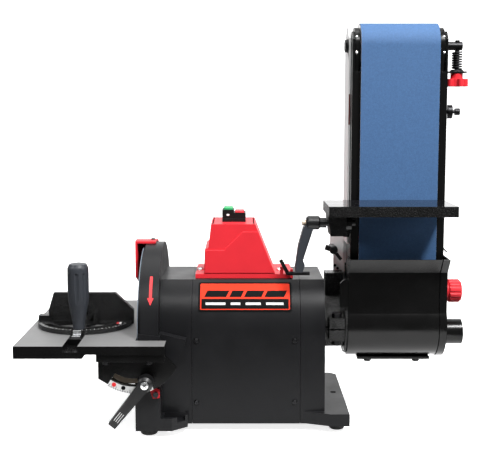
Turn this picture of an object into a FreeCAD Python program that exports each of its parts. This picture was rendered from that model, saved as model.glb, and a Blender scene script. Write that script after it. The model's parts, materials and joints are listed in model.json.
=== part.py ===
import FreeCAD, Part
import math
import os
import re
import Sketcher

# Bench belt and disc grinder.  X runs along the motor shaft from the disc to the belt,
# Y runs from the operator to the back and Z is up.  The origin is on the bench, under the
# middle of the machine, with y = 0 under the shaft.  All sizes are millimetres.
SIZES = {
    # motor and its housing
    "axis_height": 125.5, "shell_radius": 83.4, "shell_top": 191.6, "shell_bottom": 10,
    "shell_wall": 3, "casting_left": -114.4, "shroud_left": -73.9, "shroud_right": 64.5,
    "casting_right": 95.8, "shaft_radius": 8.5, "bearing_radius": 20, "bearing_width": 12,
    "bearing_left": -106, "bearing_right": 78, "boss_radius": 27, "stator_radius": 62,
    "rotor_radius": 42, "air_gap": 0.5, "stack_left": -46, "stack_right": 38,
    # disc and its guard
    "disc_radius": 101.6, "disc_face": -141.2, "disc_back": -131, "guard_radius": 107.6,
    "guard_wall": 3, "guard_left": -137.2, "guard_back": 3.6, "guard_flange": -152,
    "guard_strap": -124.7,
    # feet of the castings
    "leg_left": -143.5, "leg_right": -111.7, "leg_front": 109.5, "leg_back": 72, "leg_foot": 9,
    "foot_top": 25, "bench_hole": 4, "left_bolt_x": -98, "left_bolt_y": 92,
    "plate_right": 126.8, "plate_half": 96.5, "plate_top": 26.3, "plate_bottom": 10.6,
    "right_bolt_x": 114.5, "left_foot_x": -128.2, "left_foot_y": 90, "right_foot_x": 112.5,
    "right_foot_y": 70,
    # disc table
    "table_left": -287.6, "table_right": -104.1, "table_half": 140, "table_top": 125.4,
    "table_thin": 10.5, "table_thick": 15.6, "table_step": -200, "notch_x": -142.2,
    "notch_half": 111, "tee_x": -218.4, "tee_half": 9, "tee_deep": 7.4,
    "tilt_x": -143, "tilt_z": 122, "trunnion_in": 118, "trunnion_out": 125,
    "clamp_x": -127.5, "clamp_z": 79.5, "stud_radius": 4,
    "stud_end": 95.5,
    # mitre gauge
    "mitre_y": -20, "mitre_radius": 62, "grip_y": -72,
    # switch box
    "box_top": 262, "box_flange": 197, "box_front": 41, "key_y": -44.8, "key_z": 198.4,
    # belt arm
    "belt_left": 143.3, "belt_right": 244.9, "wrap_radius": 29.2, "belt_thick": 1.2,
    "idler_height": 492.6, "roller_gap": 0.3, "arm_left": 132.6, "arm_right": 255.9,
    "arm_sheet": 3, "arm_front": 24, "spigot_radius": 26, "clamp_radius": 34,
    "clamp_right": 128.8, "cover_left": 129.2, "cover_right": 248.4, "cover_radius": 45,
    "cover_front": 40, "lip_low": 199, "lip_high": 218, "lip_front": 57, "cap_right": 258.4,
    "handle_x": 115, "handle_z": 219.5, "port_height": 111, "port_radius": 17,
    "port_bore": 14, "right_end": 286.5,
    # small table in front of the belt
    "rest_left": 95.7, "rest_right": 253.4, "rest_front": -118, "rest_back": -32,
    "rest_top": 293, "rest_thick": 13, "rest_pivot_y": -80, "rest_pivot_z": 269,
    # belt tension
    "tension_x": 272.5, "tab_top": 459.5, "spring_foot": 462, "spring_head": 486,
   
}

doc = FreeCAD.newDocument("belt_grinder")
sheet = doc.addObject("Spreadsheet::Sheet", "Sizes")
for row, (alias, number) in enumerate(SIZES.items(), start=1):
    sheet.set(f"A{row}", alias)
    sheet.set(f"B{row}", str(number))
    sheet.setAlias(f"B{row}", alias)
doc.recompute()
SIZE_WORD = re.compile(r"\b(" + "|".join(SIZES) + r")\b")
nodes = []


def formula(size):
    """The size as an expression on the sheet."""
    return SIZE_WORD.sub(r"Sizes.\1", str(size))


def value(size):
    """The size as a number."""
    return float(sheet.evalExpression(formula(size)))


def bind(item, **sizes):
    """Bind properties of an object to the sheet; Base_x stands for Placement.Base.x."""
    for name, size in sizes.items():
        item.setExpression(name.replace("Base_", "Placement.Base."), formula(size))


def publish(label, item):
    """Name a finished sub-part, which makes it one of the exported nodes."""
    item.Label = label
    nodes.append(item)
    return item


# ---------------------------------------------------------------- sketches and bodies
class Arc:
    """The edge that leaves a corner is an arc about a centre."""

    def __init__(self, x, y, radius, turn=1):
        self.x, self.y, self.radius, self.turn = x, y, radius, turn


def draw_loop(sketch, corners):
    """Closed outline: each corner is (x, y), or (x, y, Arc) where the next edge is round."""
    spots = [(value(corner[0]), value(corner[1])) for corner in corners]
    edges = []
    for here, corner in enumerate(corners):
        start = spots[here]
        end = spots[(here + 1) % len(spots)]
        if len(corner) == 2:
            line = Part.LineSegment(FreeCAD.Vector(*start, 0), FreeCAD.Vector(*end, 0))
            edges.append((sketch.addGeometry(line, False), 1, 2))
            continue
        arc = corner[2]
        middle = FreeCAD.Vector(value(arc.x), value(arc.y), 0)
        circle = Part.Circle(middle, FreeCAD.Vector(0, 0, 1), value(arc.radius))
        angles = [math.atan2(y - middle.y, x - middle.x) for x, y in (start, end)]
        if arc.turn < 0:
            angles.reverse()
        edge = sketch.addGeometry(Part.ArcOfCircle(circle, *angles), False)
        edges.append((edge, 1, 2) if arc.turn > 0 else (edge, 2, 1))
        upright = abs(end[1] - start[1]) > abs(end[0] - start[0])
        kind, size = ("DistanceX", arc.x) if upright else ("DistanceY", arc.y)
        limit = Sketcher.Constraint(kind, -1, 1, edge, 3, value(size))
        sketch.setExpression(f"Constraints[{sketch.addConstraint(limit)}]", formula(size))
    for here, (edge, first, last) in enumerate(edges):
        follower, its_first, _ = edges[(here + 1) % len(edges)]
        sketch.addConstraint(Sketcher.Constraint("Coincident", edge, last, follower, its_first))
        for kind, size in (("DistanceX", corners[here][0]), ("DistanceY", corners[here][1])):
            limit = Sketcher.Constraint(kind, -1, 1, edge, first, value(size))
            rule = sketch.addConstraint(limit)
            sketch.setExpression(f"Constraints[{rule}]", formula(size))


def draw_circle(sketch, x, y, radius):
    """Full circle."""
    middle = FreeCAD.Vector(value(x), value(y), 0)
    edge = sketch.addGeometry(Part.Circle(middle, FreeCAD.Vector(0, 0, 1), value(radius)), False)
    for limit, size in ((Sketcher.Constraint("DistanceX", -1, 1, edge, 3, middle.x), x),
                        (Sketcher.Constraint("DistanceY", -1, 1, edge, 3, middle.y), y),
                        (Sketcher.Constraint("Radius", edge, value(radius)), radius)):
        rule = sketch.addConstraint(limit)
        sketch.setExpression(f"Constraints[{rule}]", formula(size))


def sketch_on(body, plane, offset, outlines):
    """Sketch on one of the body's own origin planes, moved along the plane's normal."""
    sketch = body.newObject("Sketcher::SketchObject", f"{body.Name}_sketch")
    origin = [part for part in body.Origin.OriginFeatures if part.Role == f"{plane}_Plane"]
    sketch.AttachmentSupport = [(origin[0], "")]
    sketch.MapMode = "FlatFace"
    sketch.setExpression("AttachmentOffset.Base.z", formula(offset))
    for outline in outlines:
        if isinstance(outline, tuple):
            draw_circle(sketch, *outline)
        else:
            draw_loop(sketch, outline)
    return sketch


def start_of(plane, low, high):
    """Offset of the sketch plane; the XZ plane's normal points to -Y."""
    return f"-({high})" if plane == "XZ" else low


def pad(body, plane, low, high, *outlines):
    """Add the outlines between two heights along the plane's axis."""
    feature = body.newObject("PartDesign::Pad", f"{body.Name}_pad")
    feature.Profile = sketch_on(body, plane, start_of(plane, low, high), outlines)
    feature.setExpression("Length", formula(f"({high}) - ({low})"))
    doc.recompute()
    return feature


def pocket(body, plane, low, high, *outlines):
    """Cut the outlines between two heights along the plane's axis."""
    before = body.Shape.Volume
    feature = body.newObject("PartDesign::Pocket", f"{body.Name}_pocket")
    feature.Profile = sketch_on(body, plane, start_of(plane, low, high), outlines)
    feature.Reversed = True
    feature.setExpression("Length", formula(f"({high}) - ({low})"))
    doc.recompute()
    if body.Shape.Volume >= before:
        raise RuntimeError(f"{body.Name}: a pocket cuts nothing")
    return feature


def turned(body, axis, profile):
    """Revolve a profile of (along, radius) corners about the body's X, Y or Z axis."""
    plane = {"X": "XZ", "Y": "YZ", "Z": "XZ"}[axis]
    if axis == "Z":
        profile = [(corner[1], corner[0], *corner[2:]) for corner in profile]
    sketch = sketch_on(body, plane, 0, [profile])
    feature = body.newObject("PartDesign::Revolution", f"{body.Name}_turning")
    feature.Profile = sketch
    feature.ReferenceAxis = (sketch, ["V_Axis" if axis == "Z" else "H_Axis"])
    feature.Angle = 360
    doc.recompute()
    return feature


def new_body(label, x=0, y=0, z=0):
    """PartDesign body at a bound place."""
    body = doc.addObject("PartDesign::Body", label)
    bind(body, Base_x=x, Base_y=y, Base_z=z)
    return body


def prism(label, plane, low, high, *outlines):
    """Body of one pad."""
    body = new_body(label)
    pad(body, plane, low, high, *outlines)
    return body


def turning(label, axis, profile, x=0, y=0, z=0):
    """Body of one revolution at a bound place."""
    body = new_body(label, x, y, z)
    turned(body, axis, profile)
    return body


# ---------------------------------------------------------------- primitives and booleans
TURN_TO = {"X": FreeCAD.Rotation(FreeCAD.Vector(0, 1, 0), 90),
           "Y": FreeCAD.Rotation(FreeCAD.Vector(1, 0, 0), -90),
           "Z": FreeCAD.Rotation()}


def stand(item, axis, across, low):
    """Place a primitive that grows along its Z axis so that it grows along the given axis."""
    item.Placement = FreeCAD.Placement(FreeCAD.Vector(), TURN_TO[axis])
    place = {"X": (low, *across), "Y": (across[0], low, across[1]), "Z": (*across, low)}[axis]
    bind(item, Base_x=place[0], Base_y=place[1], Base_z=place[2])
    return item


def cylinder(axis, across, radius, low, high):
    """Cylinder along an axis; across gives its two other coordinates in X, Y, Z order."""
    item = doc.addObject("Part::Cylinder", "cylinder")
    bind(item, Radius=radius, Height=f"({high}) - ({low})")
    return stand(item, axis, across, low)


def cone(axis, across, radius_low, radius_high, low, high):
    """Cone or taper along an axis."""
    item = doc.addObject("Part::Cone", "cone")
    bind(item, Radius1=radius_low, Radius2=radius_high, Height=f"({high}) - ({low})")
    return stand(item, axis, across, low)


def hexagon(axis, across, radius, low, high):
    """Six-sided prism, for nuts and bolt heads; radius is to the corners."""
    item = doc.addObject("Part::Prism", "hexagon")
    item.Polygon = 6
    bind(item, Circumradius=radius, Height=f"({high}) - ({low})")
    return stand(item, axis, across, low)


def block(x_low, x_high, y_low, y_high, z_low, z_high):
    """Rectangular block between two corners."""
    item = doc.addObject("Part::Box", "block")
    bind(item, Length=f"({x_high}) - ({x_low})", Width=f"({y_high}) - ({y_low})",
         Height=f"({z_high}) - ({z_low})", Base_x=x_low, Base_y=y_low, Base_z=z_low)
    return item


def join(*items):
    """Several solids fused into one."""
    item = doc.addObject("Part::MultiFuse", "join")
    item.Shapes = list(items)
    item.Refine = True
    return item


def group(*items):
    """Several separate solids in one object."""
    item = doc.addObject("Part::Compound", "group")
    item.Links = list(items)
    return item


def cut(base, *tools):
    """The base without the tools."""
    item = doc.addObject("Part::Cut", "cut")
    item.Base = base
    item.Tool = tools[0] if len(tools) == 1 else group(*tools)
    item.Refine = True
    return item


def common(first, second):
    """What two solids share."""
    item = doc.addObject("Part::Common", "common")
    item.Base = first
    item.Tool = second
    return item


def mirrored(item):
    """Copy on the other side of the shaft, front to back."""
    copy = doc.addObject("Part::Mirroring", "mirrored")
    copy.Source = item
    copy.Normal = FreeCAD.Vector(0, 1, 0)
    return copy


def both_sides(item):
    """The item and its mirror image in one object."""
    return group(item, mirrored(item))


AXIS = (0, "axis_height")


def on_shaft(radius, low, high):
    """Cylinder about the motor shaft."""
    return cylinder("X", AXIS, radius, low, high)


def sleeve(radius, bore, low, high):
    """Ring about the motor shaft."""
    return cut(on_shaft(radius, low, high), on_shaft(bore, f"{low} - 1", f"{high} + 1"))


# ---------------------------------------------------------------- housing
def shell_outline(inset):
    """Cross-section of the housing: flat top, round shoulders and straight sides."""
    radius = f"(shell_radius - {inset})"
    top = f"(shell_top - {inset})"
    flat = f"sqrt({radius}^2 - ({top} - axis_height)^2)"
    bottom = f"shell_bottom + {inset}"
    shoulder = Arc(0, "axis_height", radius, turn=-1)
    return [(f"-{flat}", top), (flat, top, shoulder), (radius, "axis_height"), (radius, bottom),
            (f"-{radius}", bottom), (f"-{radius}", "axis_height", shoulder)]


def left_end_casting():
    """Disc guard, end wall with its bearing seat, two legs and two bench feet."""
    shell = new_body("left_shell")
    pad(shell, "YZ", "casting_left", "shroud_left", shell_outline("0"))
    pocket(shell, "YZ", "casting_left + 5", "shroud_left", shell_outline("4"))
    ring = cut(on_shaft("guard_radius", "guard_left", "casting_left"),
               on_shaft("guard_radius - guard_wall", "guard_left - 1", "casting_left - guard_back"))
    leg = prism("leg", "XZ", "-leg_front", "-leg_back",
                [("leg_left", "leg_foot"), ("leg_right", "leg_foot"), ("leg_right", "130"),
                 ("leg_left + 4", "133"), ("leg_left + 3", "104"), ("leg_left", "96")])
    web = prism("leg_web", "XZ", "-98", "-80",
                [("leg_right - 2", "131"), ("-80.5", "122.8"), ("-82", "115"), ("-97", "88"),
                 ("leg_right - 2", "72")])
    foot = prism("leg_flange", "XY", "leg_foot", "foot_top",
                 [("leg_left", "-leg_front"), ("-98", "-leg_front"), ("-79", "-93"),
                  ("-79", "-leg_back"), ("leg_left", "-leg_back")])
    recess = block("leg_right + 3", "-82", "-104", "-84", "foot_top - 7", "foot_top + 1")
    clamp_boss = cylinder("Y", ("clamp_x", "clamp_z"), 12, "-trunnion_in + 0.2", "-leg_front + 1")
    clamp_hole = cylinder("Y", ("clamp_x", "clamp_z"), "stud_radius + 0.08", "-120", "-stud_end")
    bench_hole = cylinder("Z", ("left_bolt_x", "-left_bolt_y"), "bench_hole", 0, 40)
    guide = prism("tilt_guide", "XZ", "-leg_front - 1.9", "-leg_front + 2.1",
                  [("-171", "78"), ("-160", "71"), ("leg_left + 4", "71"), ("leg_left + 4", "92"),
                   ("-160", "92"), ("-167", "86"), ("-171", "81")])
    side = cut(join(leg, web, foot, clamp_boss, guide), recess, bench_hole)
    boss = on_shaft("boss_radius", "casting_left", "bearing_left + bearing_width + 1")
    whole = join(shell, ring, side, mirrored(side), boss)
    cavity = on_shaft("guard_radius - guard_wall", "leg_left - 1", "casting_left - guard_back")
    return cut(whole, cavity, both_sides(clamp_hole),
               on_shaft("shaft_radius + 3", "casting_left - 9", "-60"),
               on_shaft("bearing_radius", "bearing_left", "-60"))


def motor_shroud():
    """Folded sheet between the two castings, with screw holes."""
    shroud = new_body("shroud")
    pad(shroud, "YZ", "shroud_left + 0.3", "shroud_right - 0.3", shell_outline("0"))
    pocket(shroud, "YZ", "shroud_left", "shroud_right", shell_outline("shell_wall"))
    holes = [cylinder("Y", spot, 2.2, "-shell_radius - 1", "shell_radius + 1")
             for spot in SHROUD_SCREWS]
    lead_hole = cylinder("Z", ("-20", 0), 8, "shell_top - 10", "shell_top + 1")
    gland_hole = cylinder("Y", ("30", "50"), 8.2, "shell_radius - 10", "shell_radius + 1")
    return cut(shroud, *holes, lead_hole, gland_hole)


def right_end_casting():
    """End wall with its bearing seat, the spigot that carries the arm and the long foot."""
    shell = new_body("right_shell")
    pad(shell, "YZ", "shroud_right", "casting_right", shell_outline("0"))
    pocket(shell, "YZ", "shroud_right", "casting_right - 5", shell_outline("4"))
    plate = prism("foot_plate", "XY", "plate_bottom", "plate_top",
                  [("67", "-shell_radius"), ("103", "-plate_half"), ("plate_right", "-plate_half"),
                   ("plate_right", "plate_half - 8"), ("plate_right - 8", "plate_half"),
                   ("103", "plate_half"), ("67", "shell_radius")])
    foot = cut(plate, cylinder("Z", ("right_bolt_x", 0), "bench_hole", 0, 40))
    boss = on_shaft("boss_radius", "bearing_right - 1", "casting_right")
    spigot = on_shaft("spigot_radius", "casting_right - 1", "clamp_right - 4")
    return cut(join(shell, foot, boss, spigot), on_shaft("shaft_radius + 3", "60", "200"),
               on_shaft("bearing_radius", "60", "bearing_right + bearing_width"))


SHROUD_SCREWS = [(x, z) for x in ("shroud_left + 5.9", "shroud_right - 7.3") for z in (118.5, 38.3)]


def button_screw(axis, across, seat, out, head, shank, length):
    """Button-head screw: the head stands out of the seat, the shank goes into it."""
    first, last = (seat, f"{seat} + {out * head * 0.55}")
    shaft_end = f"{seat} - {out * length}"
    if out < 0:
        top = cone(axis, across, head * 0.7, head, last, first)
        stem = cylinder(axis, across, shank, first, shaft_end)
    else:
        top = cone(axis, across, head, head * 0.7, first, last)
        stem = cylinder(axis, across, shank, shaft_end, first)
    return join(top, stem)


publish("left_end_casting", left_end_casting())
publish("motor_shroud", motor_shroud())
publish("right_end_casting", right_end_casting())
shroud_screws = [both_sides(button_screw("Y", spot, "-shell_radius", -1, 3.6, 2, 8))
                 for spot in SHROUD_SCREWS]
low_edge, high_edge = "asin(29.5 / shell_radius)", "asin(62.5 / shell_radius)"
label = prism("label", "YZ", "-65.6", "53.4",
              [(f"-(shell_radius + {out}) * cos({edge})",
                f"axis_height + (shell_radius + {out}) * sin({edge})", *arc)
               for out, edge, arc in (
                   ("0.1", high_edge, [Arc(0, "axis_height", "shell_radius + 0.1")]),
                   ("0.1", low_edge, []),
                   ("0.9", low_edge, [Arc(0, "axis_height", "shell_radius + 0.9", turn=-1)]),
                   ("0.9", high_edge, []))])
publish("label_plate", label)


def rubber_foot(x, y, radius, height):
    """Tapered rubber foot."""
    return turning("foot", "Z", [(0, 0), (0, f"{radius} - 1.5"), ("1.5", radius), (height, radius),
                                 (height, 0)], x, y)


publish("rubber_feet", both_sides(group(
    rubber_foot("left_foot_x", "-left_foot_y", "11", "leg_foot"),
    rubber_foot("right_foot_x", "-right_foot_y", "10", "plate_bottom"))))
gland = turning("gland", "Y", [("-9", 0), ("-9", 8), (0, 8), (0, 11), (4, 11), (16, 6), (16, 4.2),
                               ("-7", 4.2), ("-7", 0)], "30", "shell_radius", "50")
publish("cord_gland", gland)


# ---------------------------------------------------------------- motor
publish("stator_core", cut(sleeve("stator_radius", "rotor_radius + air_gap", "stack_left",
                                  "stack_right"), *[
    cylinder("X", (f"50 * cos({turn} * 30)", f"axis_height + 50 * sin({turn} * 30)"), 4,
             "stack_left - 1", "stack_right + 1") for turn in range(12)]))
publish("windings", group(sleeve(58, 45, "stack_left - 18", "stack_left"),
                          sleeve(58, 45, "stack_right", "stack_right + 18")))
publish("rotor", sleeve("rotor_radius", "shaft_radius", "stack_left", "stack_right"))
shaft_left = "disc_back - 4"
shaft = turning("shaft", "X", [
    (shaft_left, 0), (shaft_left, "shaft_radius - 1"), (f"{shaft_left} + 1", "shaft_radius"),
    ("cover_right - 1", "shaft_radius"), ("cover_right", "shaft_radius - 1"),
    ("cover_right", 0)], z="axis_height")
publish("motor_shaft", shaft)
publish("shaft_bearings", group(*[
    sleeve("bearing_radius", "shaft_radius + 0.05", start, f"{start} + bearing_width")
    for start in ("bearing_left", "bearing_right")]))


def fan_blade(turn):
    """Radial blade, turned about the shaft."""
    blade = block("56", "68.5", 0, "2.4", 0, "22")
    blade.Placement = FreeCAD.Placement(
        FreeCAD.Vector(), FreeCAD.Rotation(FreeCAD.Vector(1, 0, 0), turn))
    bind(blade, Base_x="56", Base_y=f"-1.2 * cos({turn}) - 17 * sin({turn})",
         Base_z=f"axis_height - 1.2 * sin({turn}) + 17 * cos({turn})")
    return blade


publish("cooling_fan", join(sleeve(18, "shaft_radius", "57", "70"), sleeve(39, 17, "68", "70"),
                            *[fan_blade(45 * turn) for turn in range(8)]))
publish("run_capacitor", cylinder("X", ("-52", "30"), 15, "-40", "30"))


# ---------------------------------------------------------------- disc and its guard
disc = turning("disc", "X", [
    ("disc_back - 4", "shaft_radius"), ("disc_back + 11", "shaft_radius"), ("disc_back + 11", 22),
    ("disc_back", 24), ("disc_back", "disc_radius - 0.6"), ("disc_face + 1", "disc_radius - 0.6"),
    ("disc_face + 1", 0), ("disc_back - 4", 0)], z="axis_height")
publish("disc_plate", disc)
publish("abrasive_disc", on_shaft("disc_radius", "disc_face", "disc_face + 1"))
GUARD_FRONT, GUARD_END = "-12", 72
rim, rim_out = "(guard_radius + 0.4)", "(guard_radius + 3.2)"


def rim_front(radius):
    """Point at a radius on the guard's front end."""
    return (GUARD_FRONT, f"axis_height + sqrt({radius}^2 - 12^2)")


def rim_end(radius):
    """Point at a radius on the guard's rear end."""
    return (f"{radius} * sin({GUARD_END})", f"axis_height + {radius} * cos({GUARD_END})")


strap = prism("strap", "YZ", "guard_flange", "guard_strap", [
    (*rim_front(rim_out), Arc(0, "axis_height", rim_out, turn=-1)), rim_end(rim_out),
    (*rim_end(rim), Arc(0, "axis_height", rim)), rim_front(rim)])
face_plate = prism("face_plate", "YZ", "guard_flange", "guard_flange + 2.8", [
    (*rim_front(rim_out), Arc(0, "axis_height", rim_out, turn=-1)), rim_end(rim_out),
    rim_end("(guard_radius - 16)"), (GUARD_FRONT, "axis_height + 62")])
guard_screw_spot = ("guard_strap - 4.5", "2")
publish("disc_guard", cut(join(strap, face_plate),
                          cylinder("Z", guard_screw_spot, 1.9, "200", "260")))
guard_screw = button_screw("Z", guard_screw_spot, f"axis_height + {rim_out}", 1, 3.4, 1.8, 3)


# ---------------------------------------------------------------- disc table
table = new_body("table")
table_low, step_low = "table_top - table_thin", "table_top - table_thick"
pad(table, "XZ", "-table_half", "table_half", [
    ("table_left", "table_top"), ("table_left", step_low), ("table_step - 4", step_low),
    ("table_step", table_low), ("table_right", table_low), ("table_right", "table_top")])
pocket(table, "XY", f"{step_low} - 1", "table_top + 1", [
    ("notch_x", "-notch_half"), ("table_right + 1", "-notch_half"),
    ("table_right + 1", "notch_half"), ("notch_x", "notch_half")])
pocket(table, "XZ", "-notch_half", "notch_half", [
    ("notch_x + 1", "table_top - 2"), ("notch_x + 1", f"{table_low} - 1"),
    ("notch_x - 9.5", f"{table_low} - 1"), ("notch_x", "table_top - 2")])
pocket(table, "XZ", "-table_half", "table_half", [
    ("tee_x - tee_half", "table_top - tee_deep"), ("tee_x + tee_half", "table_top - tee_deep"),
    ("tee_x + tee_half", "table_top + 1"), ("tee_x - tee_half", "table_top + 1")])
TABLE_BOLTS = [(x, 131) for x in ("-176", "-124")]
publish("disc_table", cut(table, *[
    cylinder("Z", (x, f"{side} * {y}"), 2.7, f"{table_low} - 1", f"{table_low} + 6")
    for x, y in TABLE_BOLTS for side in (-1, 1)]))


def tilt_point(radius, angle):
    """Point at a radius and an angle in degrees about the table's tilt axis."""
    return (f"tilt_x + ({radius}) * cos({angle})", f"tilt_z + ({radius}) * sin({angle})")


def tilt_sector(name, low, high, inner, outer, first, last):
    """Part of a ring about the tilt axis, between two depths along Y."""
    return prism(name, "XZ", low, high, [
        (*tilt_point(inner, last), Arc("tilt_x", "tilt_z", inner, turn=-1)),
        tilt_point(inner, first),
        (*tilt_point(outer, first), Arc("tilt_x", "tilt_z", outer)),
        tilt_point(outer, last)])


def trunnion():
    """Quadrant under the table with its curved clamp slot; the front one."""
    quadrant = prism("quadrant", "XZ", "-trunnion_out", "-trunnion_in", [
        ("-187", table_low), ("-187", "81"), ("-175.5", "74"),
        (*tilt_point("59.5", "-114"), Arc("tilt_x", "tilt_z", "59.5")),
        (*tilt_point("59.5", "-28"), Arc("tilt_x", "tilt_z", "59.5")),
        ("table_right - 1", "tilt_z - 13"), ("table_right - 1", table_low)])
    flange = block("-187.6", "table_right", "-137", "-112", "table_top - 20.4", table_low)
    slot = tilt_sector("tilt_slot", "-trunnion_out - 1", "-trunnion_in + 1", "41", "49.6",
                       "-124", "-64")
    holes = [cylinder("Z", (x, f"-{y}"), 2.7, "50", "table_top - table_thin + 1")
             for x, y in TABLE_BOLTS]
    return cut(join(quadrant, flange), slot, *holes)


for label, shape in (("front_trunnion", trunnion()), ("rear_trunnion", mirrored(trunnion()))):
    publish(label, shape)
publish("trunnion_screws", both_sides(group(*[
    join(hexagon("Z", (x, f"-{y}"), 4.6, "table_top - 24.4", "table_top - 20.4"),
         cylinder("Z", (x, f"-{y}"), 2.5, "table_top - 24", f"{table_low} + 5.5"))
    for x, y in TABLE_BOLTS])))
publish("angle_scale", tilt_sector("scale", "-trunnion_out - 0.8", "-trunnion_out", "51", "59.5",
                                   "-124", "-66"))
publish("angle_pointer", prism("pointer", "XZ", "-trunnion_in + 1", "-leg_front", [
    ("clamp_x + 3", "64"), ("clamp_x + 7", "66"), ("clamp_x + 15", "62"), ("clamp_x + 15", "54"),
    ("clamp_x + 7", "53")], ("clamp_x + 10.5", "58.5", "2.1")))
pointer_screw = join(
    cylinder("Y", ("clamp_x + 10.5", "58.5"), 3.6, "-trunnion_in - 1", "-trunnion_in + 1"),
    cylinder("Y", ("clamp_x + 10.5", "58.5"), 2, "-trunnion_in", "-leg_front"))


def lock_lever(arm_angle, arm_length):
    """Ratchet lever with its hub, stud and retaining screw; the stud points along +Y."""
    hub = turning("hub", "Y", [("-150", 0), ("-150", 6), ("-147", 9.4), ("-130", 9.4),
                               ("-128.5", 7), ("-126.3", 7), ("-126.3", "stud_radius"),
                               ("-stud_end - 1", "stud_radius"), ("-stud_end - 1", 0)],
                  "clamp_x", 0, "clamp_z")
    reach = [f"clamp_x + {arm_length} * cos({arm_angle})", f"clamp_z + {arm_length} * sin({arm_angle})"]
    side = [(f"{across} * sin({arm_angle})", f"{across} * cos({arm_angle})") for across in (5.2, 7)]
    arm = prism("arm", "XZ", "-150", "-139", [
        (f"clamp_x - {side[1][0]}", f"clamp_z + {side[1][1]}"),
        (f"{reach[0]} - {side[0][0]}", f"{reach[1]} + {side[0][1]}"),
        (f"{reach[0]} + {side[0][0]}", f"{reach[1]} - {side[0][1]}"),
        (f"clamp_x + {side[1][0]}", f"clamp_z - {side[1][1]}")])
    screw = cylinder("Y", ("clamp_x", "clamp_z"), 4.2, "-151.5", "-149")
    return join(hub, arm, screw)


publish("front_lock_lever", lock_lever("-128.5", 65))
publish("rear_lock_lever", mirrored(lock_lever("-128.5", 65)))


# ---------------------------------------------------------------- mitre gauge
bar_low, bar_high = "table_top - tee_deep + 0.3", "table_top + 0.2"
bar = join(block("tee_x - tee_half + 0.3", "tee_x + tee_half - 0.3", "-104", "128", bar_low,
                 bar_high),
           cylinder("Z", ("tee_x", "mitre_y"), 4, bar_low, "table_top + 16"))
publish("mitre_bar", cut(bar, cylinder("Z", ("tee_x", "grip_y"), 3.08, 0, 300)))
publish("mitre_pointer", join(
    block("tee_x - 5", "tee_x + 5", "-97", "-84", bar_high, "table_top + 2.2"),
    block("tee_x - 5", "tee_x + 5", "-88", "-84", "table_top + 2", "table_top + 7.5")))
base_low, base_high = "table_top + 0.6", "table_top + 6"
head_plate = prism("head_plate", "XY", base_low, base_high, [
    ("tee_x - mitre_radius", "mitre_y", Arc("tee_x", "mitre_y", "mitre_radius")),
    ("tee_x + mitre_radius", "mitre_y"), ("tee_x + mitre_radius", "mitre_y + 9"),
    ("tee_x - mitre_radius", "mitre_y + 9")])


def head_point(radius, angle):
    """Point at a radius and an angle in degrees about the gauge's pivot."""
    return (f"tee_x + ({radius}) * cos({angle})", f"mitre_y + ({radius}) * sin({angle})")


arc_slot = prism("arc_slot", "XY", f"{base_low} - 1", f"{base_high} + 30", [
    (*head_point("48", "-28"), Arc("tee_x", "mitre_y", "48", turn=-1)),
    head_point("48", "-152"),
    (*head_point("56", "-152"), Arc("tee_x", "mitre_y", "56")), head_point("56", "-28")])
windows = [prism("head_window", "XY", f"{base_low} - 1", f"{base_high} + 1", [
    (*head_point("43", last), Arc("tee_x", "mitre_y", "43", turn=-1)), head_point("43", first),
    (*head_point("16", first), Arc("tee_x", "mitre_y", "16")), head_point("16", last)])
    for first, last in (("-165", "-100"), ("-80", "-15"))]
fence = prism("fence", "XZ", "mitre_y", "mitre_y + 9", [
    ("tee_x - 49", base_low), ("tee_x + 64", base_low), ("tee_x + 64", "145"),
    ("tee_x + 40", "168"), ("tee_x - 42", "168"), ("tee_x - 49", "145")])
ear = block("tee_x - mitre_radius", "tee_x - 46", "mitre_y - 4", "mitre_y + 9", base_low, "138")
pivot_boss = cylinder("Z", ("tee_x", "mitre_y"), 11, base_low, "table_top + 14")
ribs = [block(f"tee_x + {x} - 2", f"tee_x + {x} + 2", "mitre_y - 22", "mitre_y + 1", base_low,
              "table_top + 20") for x in (-16, 16)]
publish("mitre_head", cut(join(head_plate, fence, ear, pivot_boss, *ribs), arc_slot, *windows,
                          cylinder("Z", ("tee_x", "mitre_y"), 4.08, 0, "table_top + 30")))
grip = turning("grip", "Z", [
    ("table_top - 7", 0), ("table_top - 7", 3), ("table_top + 6.6", 3), ("table_top + 6.6", 7.5),
    ("table_top + 14", 8), ("table_top + 42", "12.8"), ("table_top + 59", "13.6"),
    ("table_top + 85", "13.4"), ("table_top + 90", "11"), ("table_top + 91", 6),
    ("table_top + 91", 0)], "tee_x", "grip_y")
flutes = [cylinder("Z", (f"tee_x + 16.4 * cos({turn} * 45)", f"grip_y + 16.4 * sin({turn} * 45)"),
                   4.2, "table_top + 24", "table_top + 79") for turn in range(8)]
publish("mitre_grip", cut(grip, *flutes))


# ---------------------------------------------------------------- switch box
def switch_shell(inset):
    """Front view of the box: a step on its left side and a long slope on its right side."""
    return [(f"-59.6 + {inset}", "box_flange - 1"), (f"-58.2 + {inset}", "229"),
            (f"-53.6 + {inset}", "232"), (f"-50.1 + {inset}", f"box_top - {inset}"),
            (f"7.4 - {inset}", f"box_top - {inset}"), (f"33.8 - {inset}", "box_flange - 1")]


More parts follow.
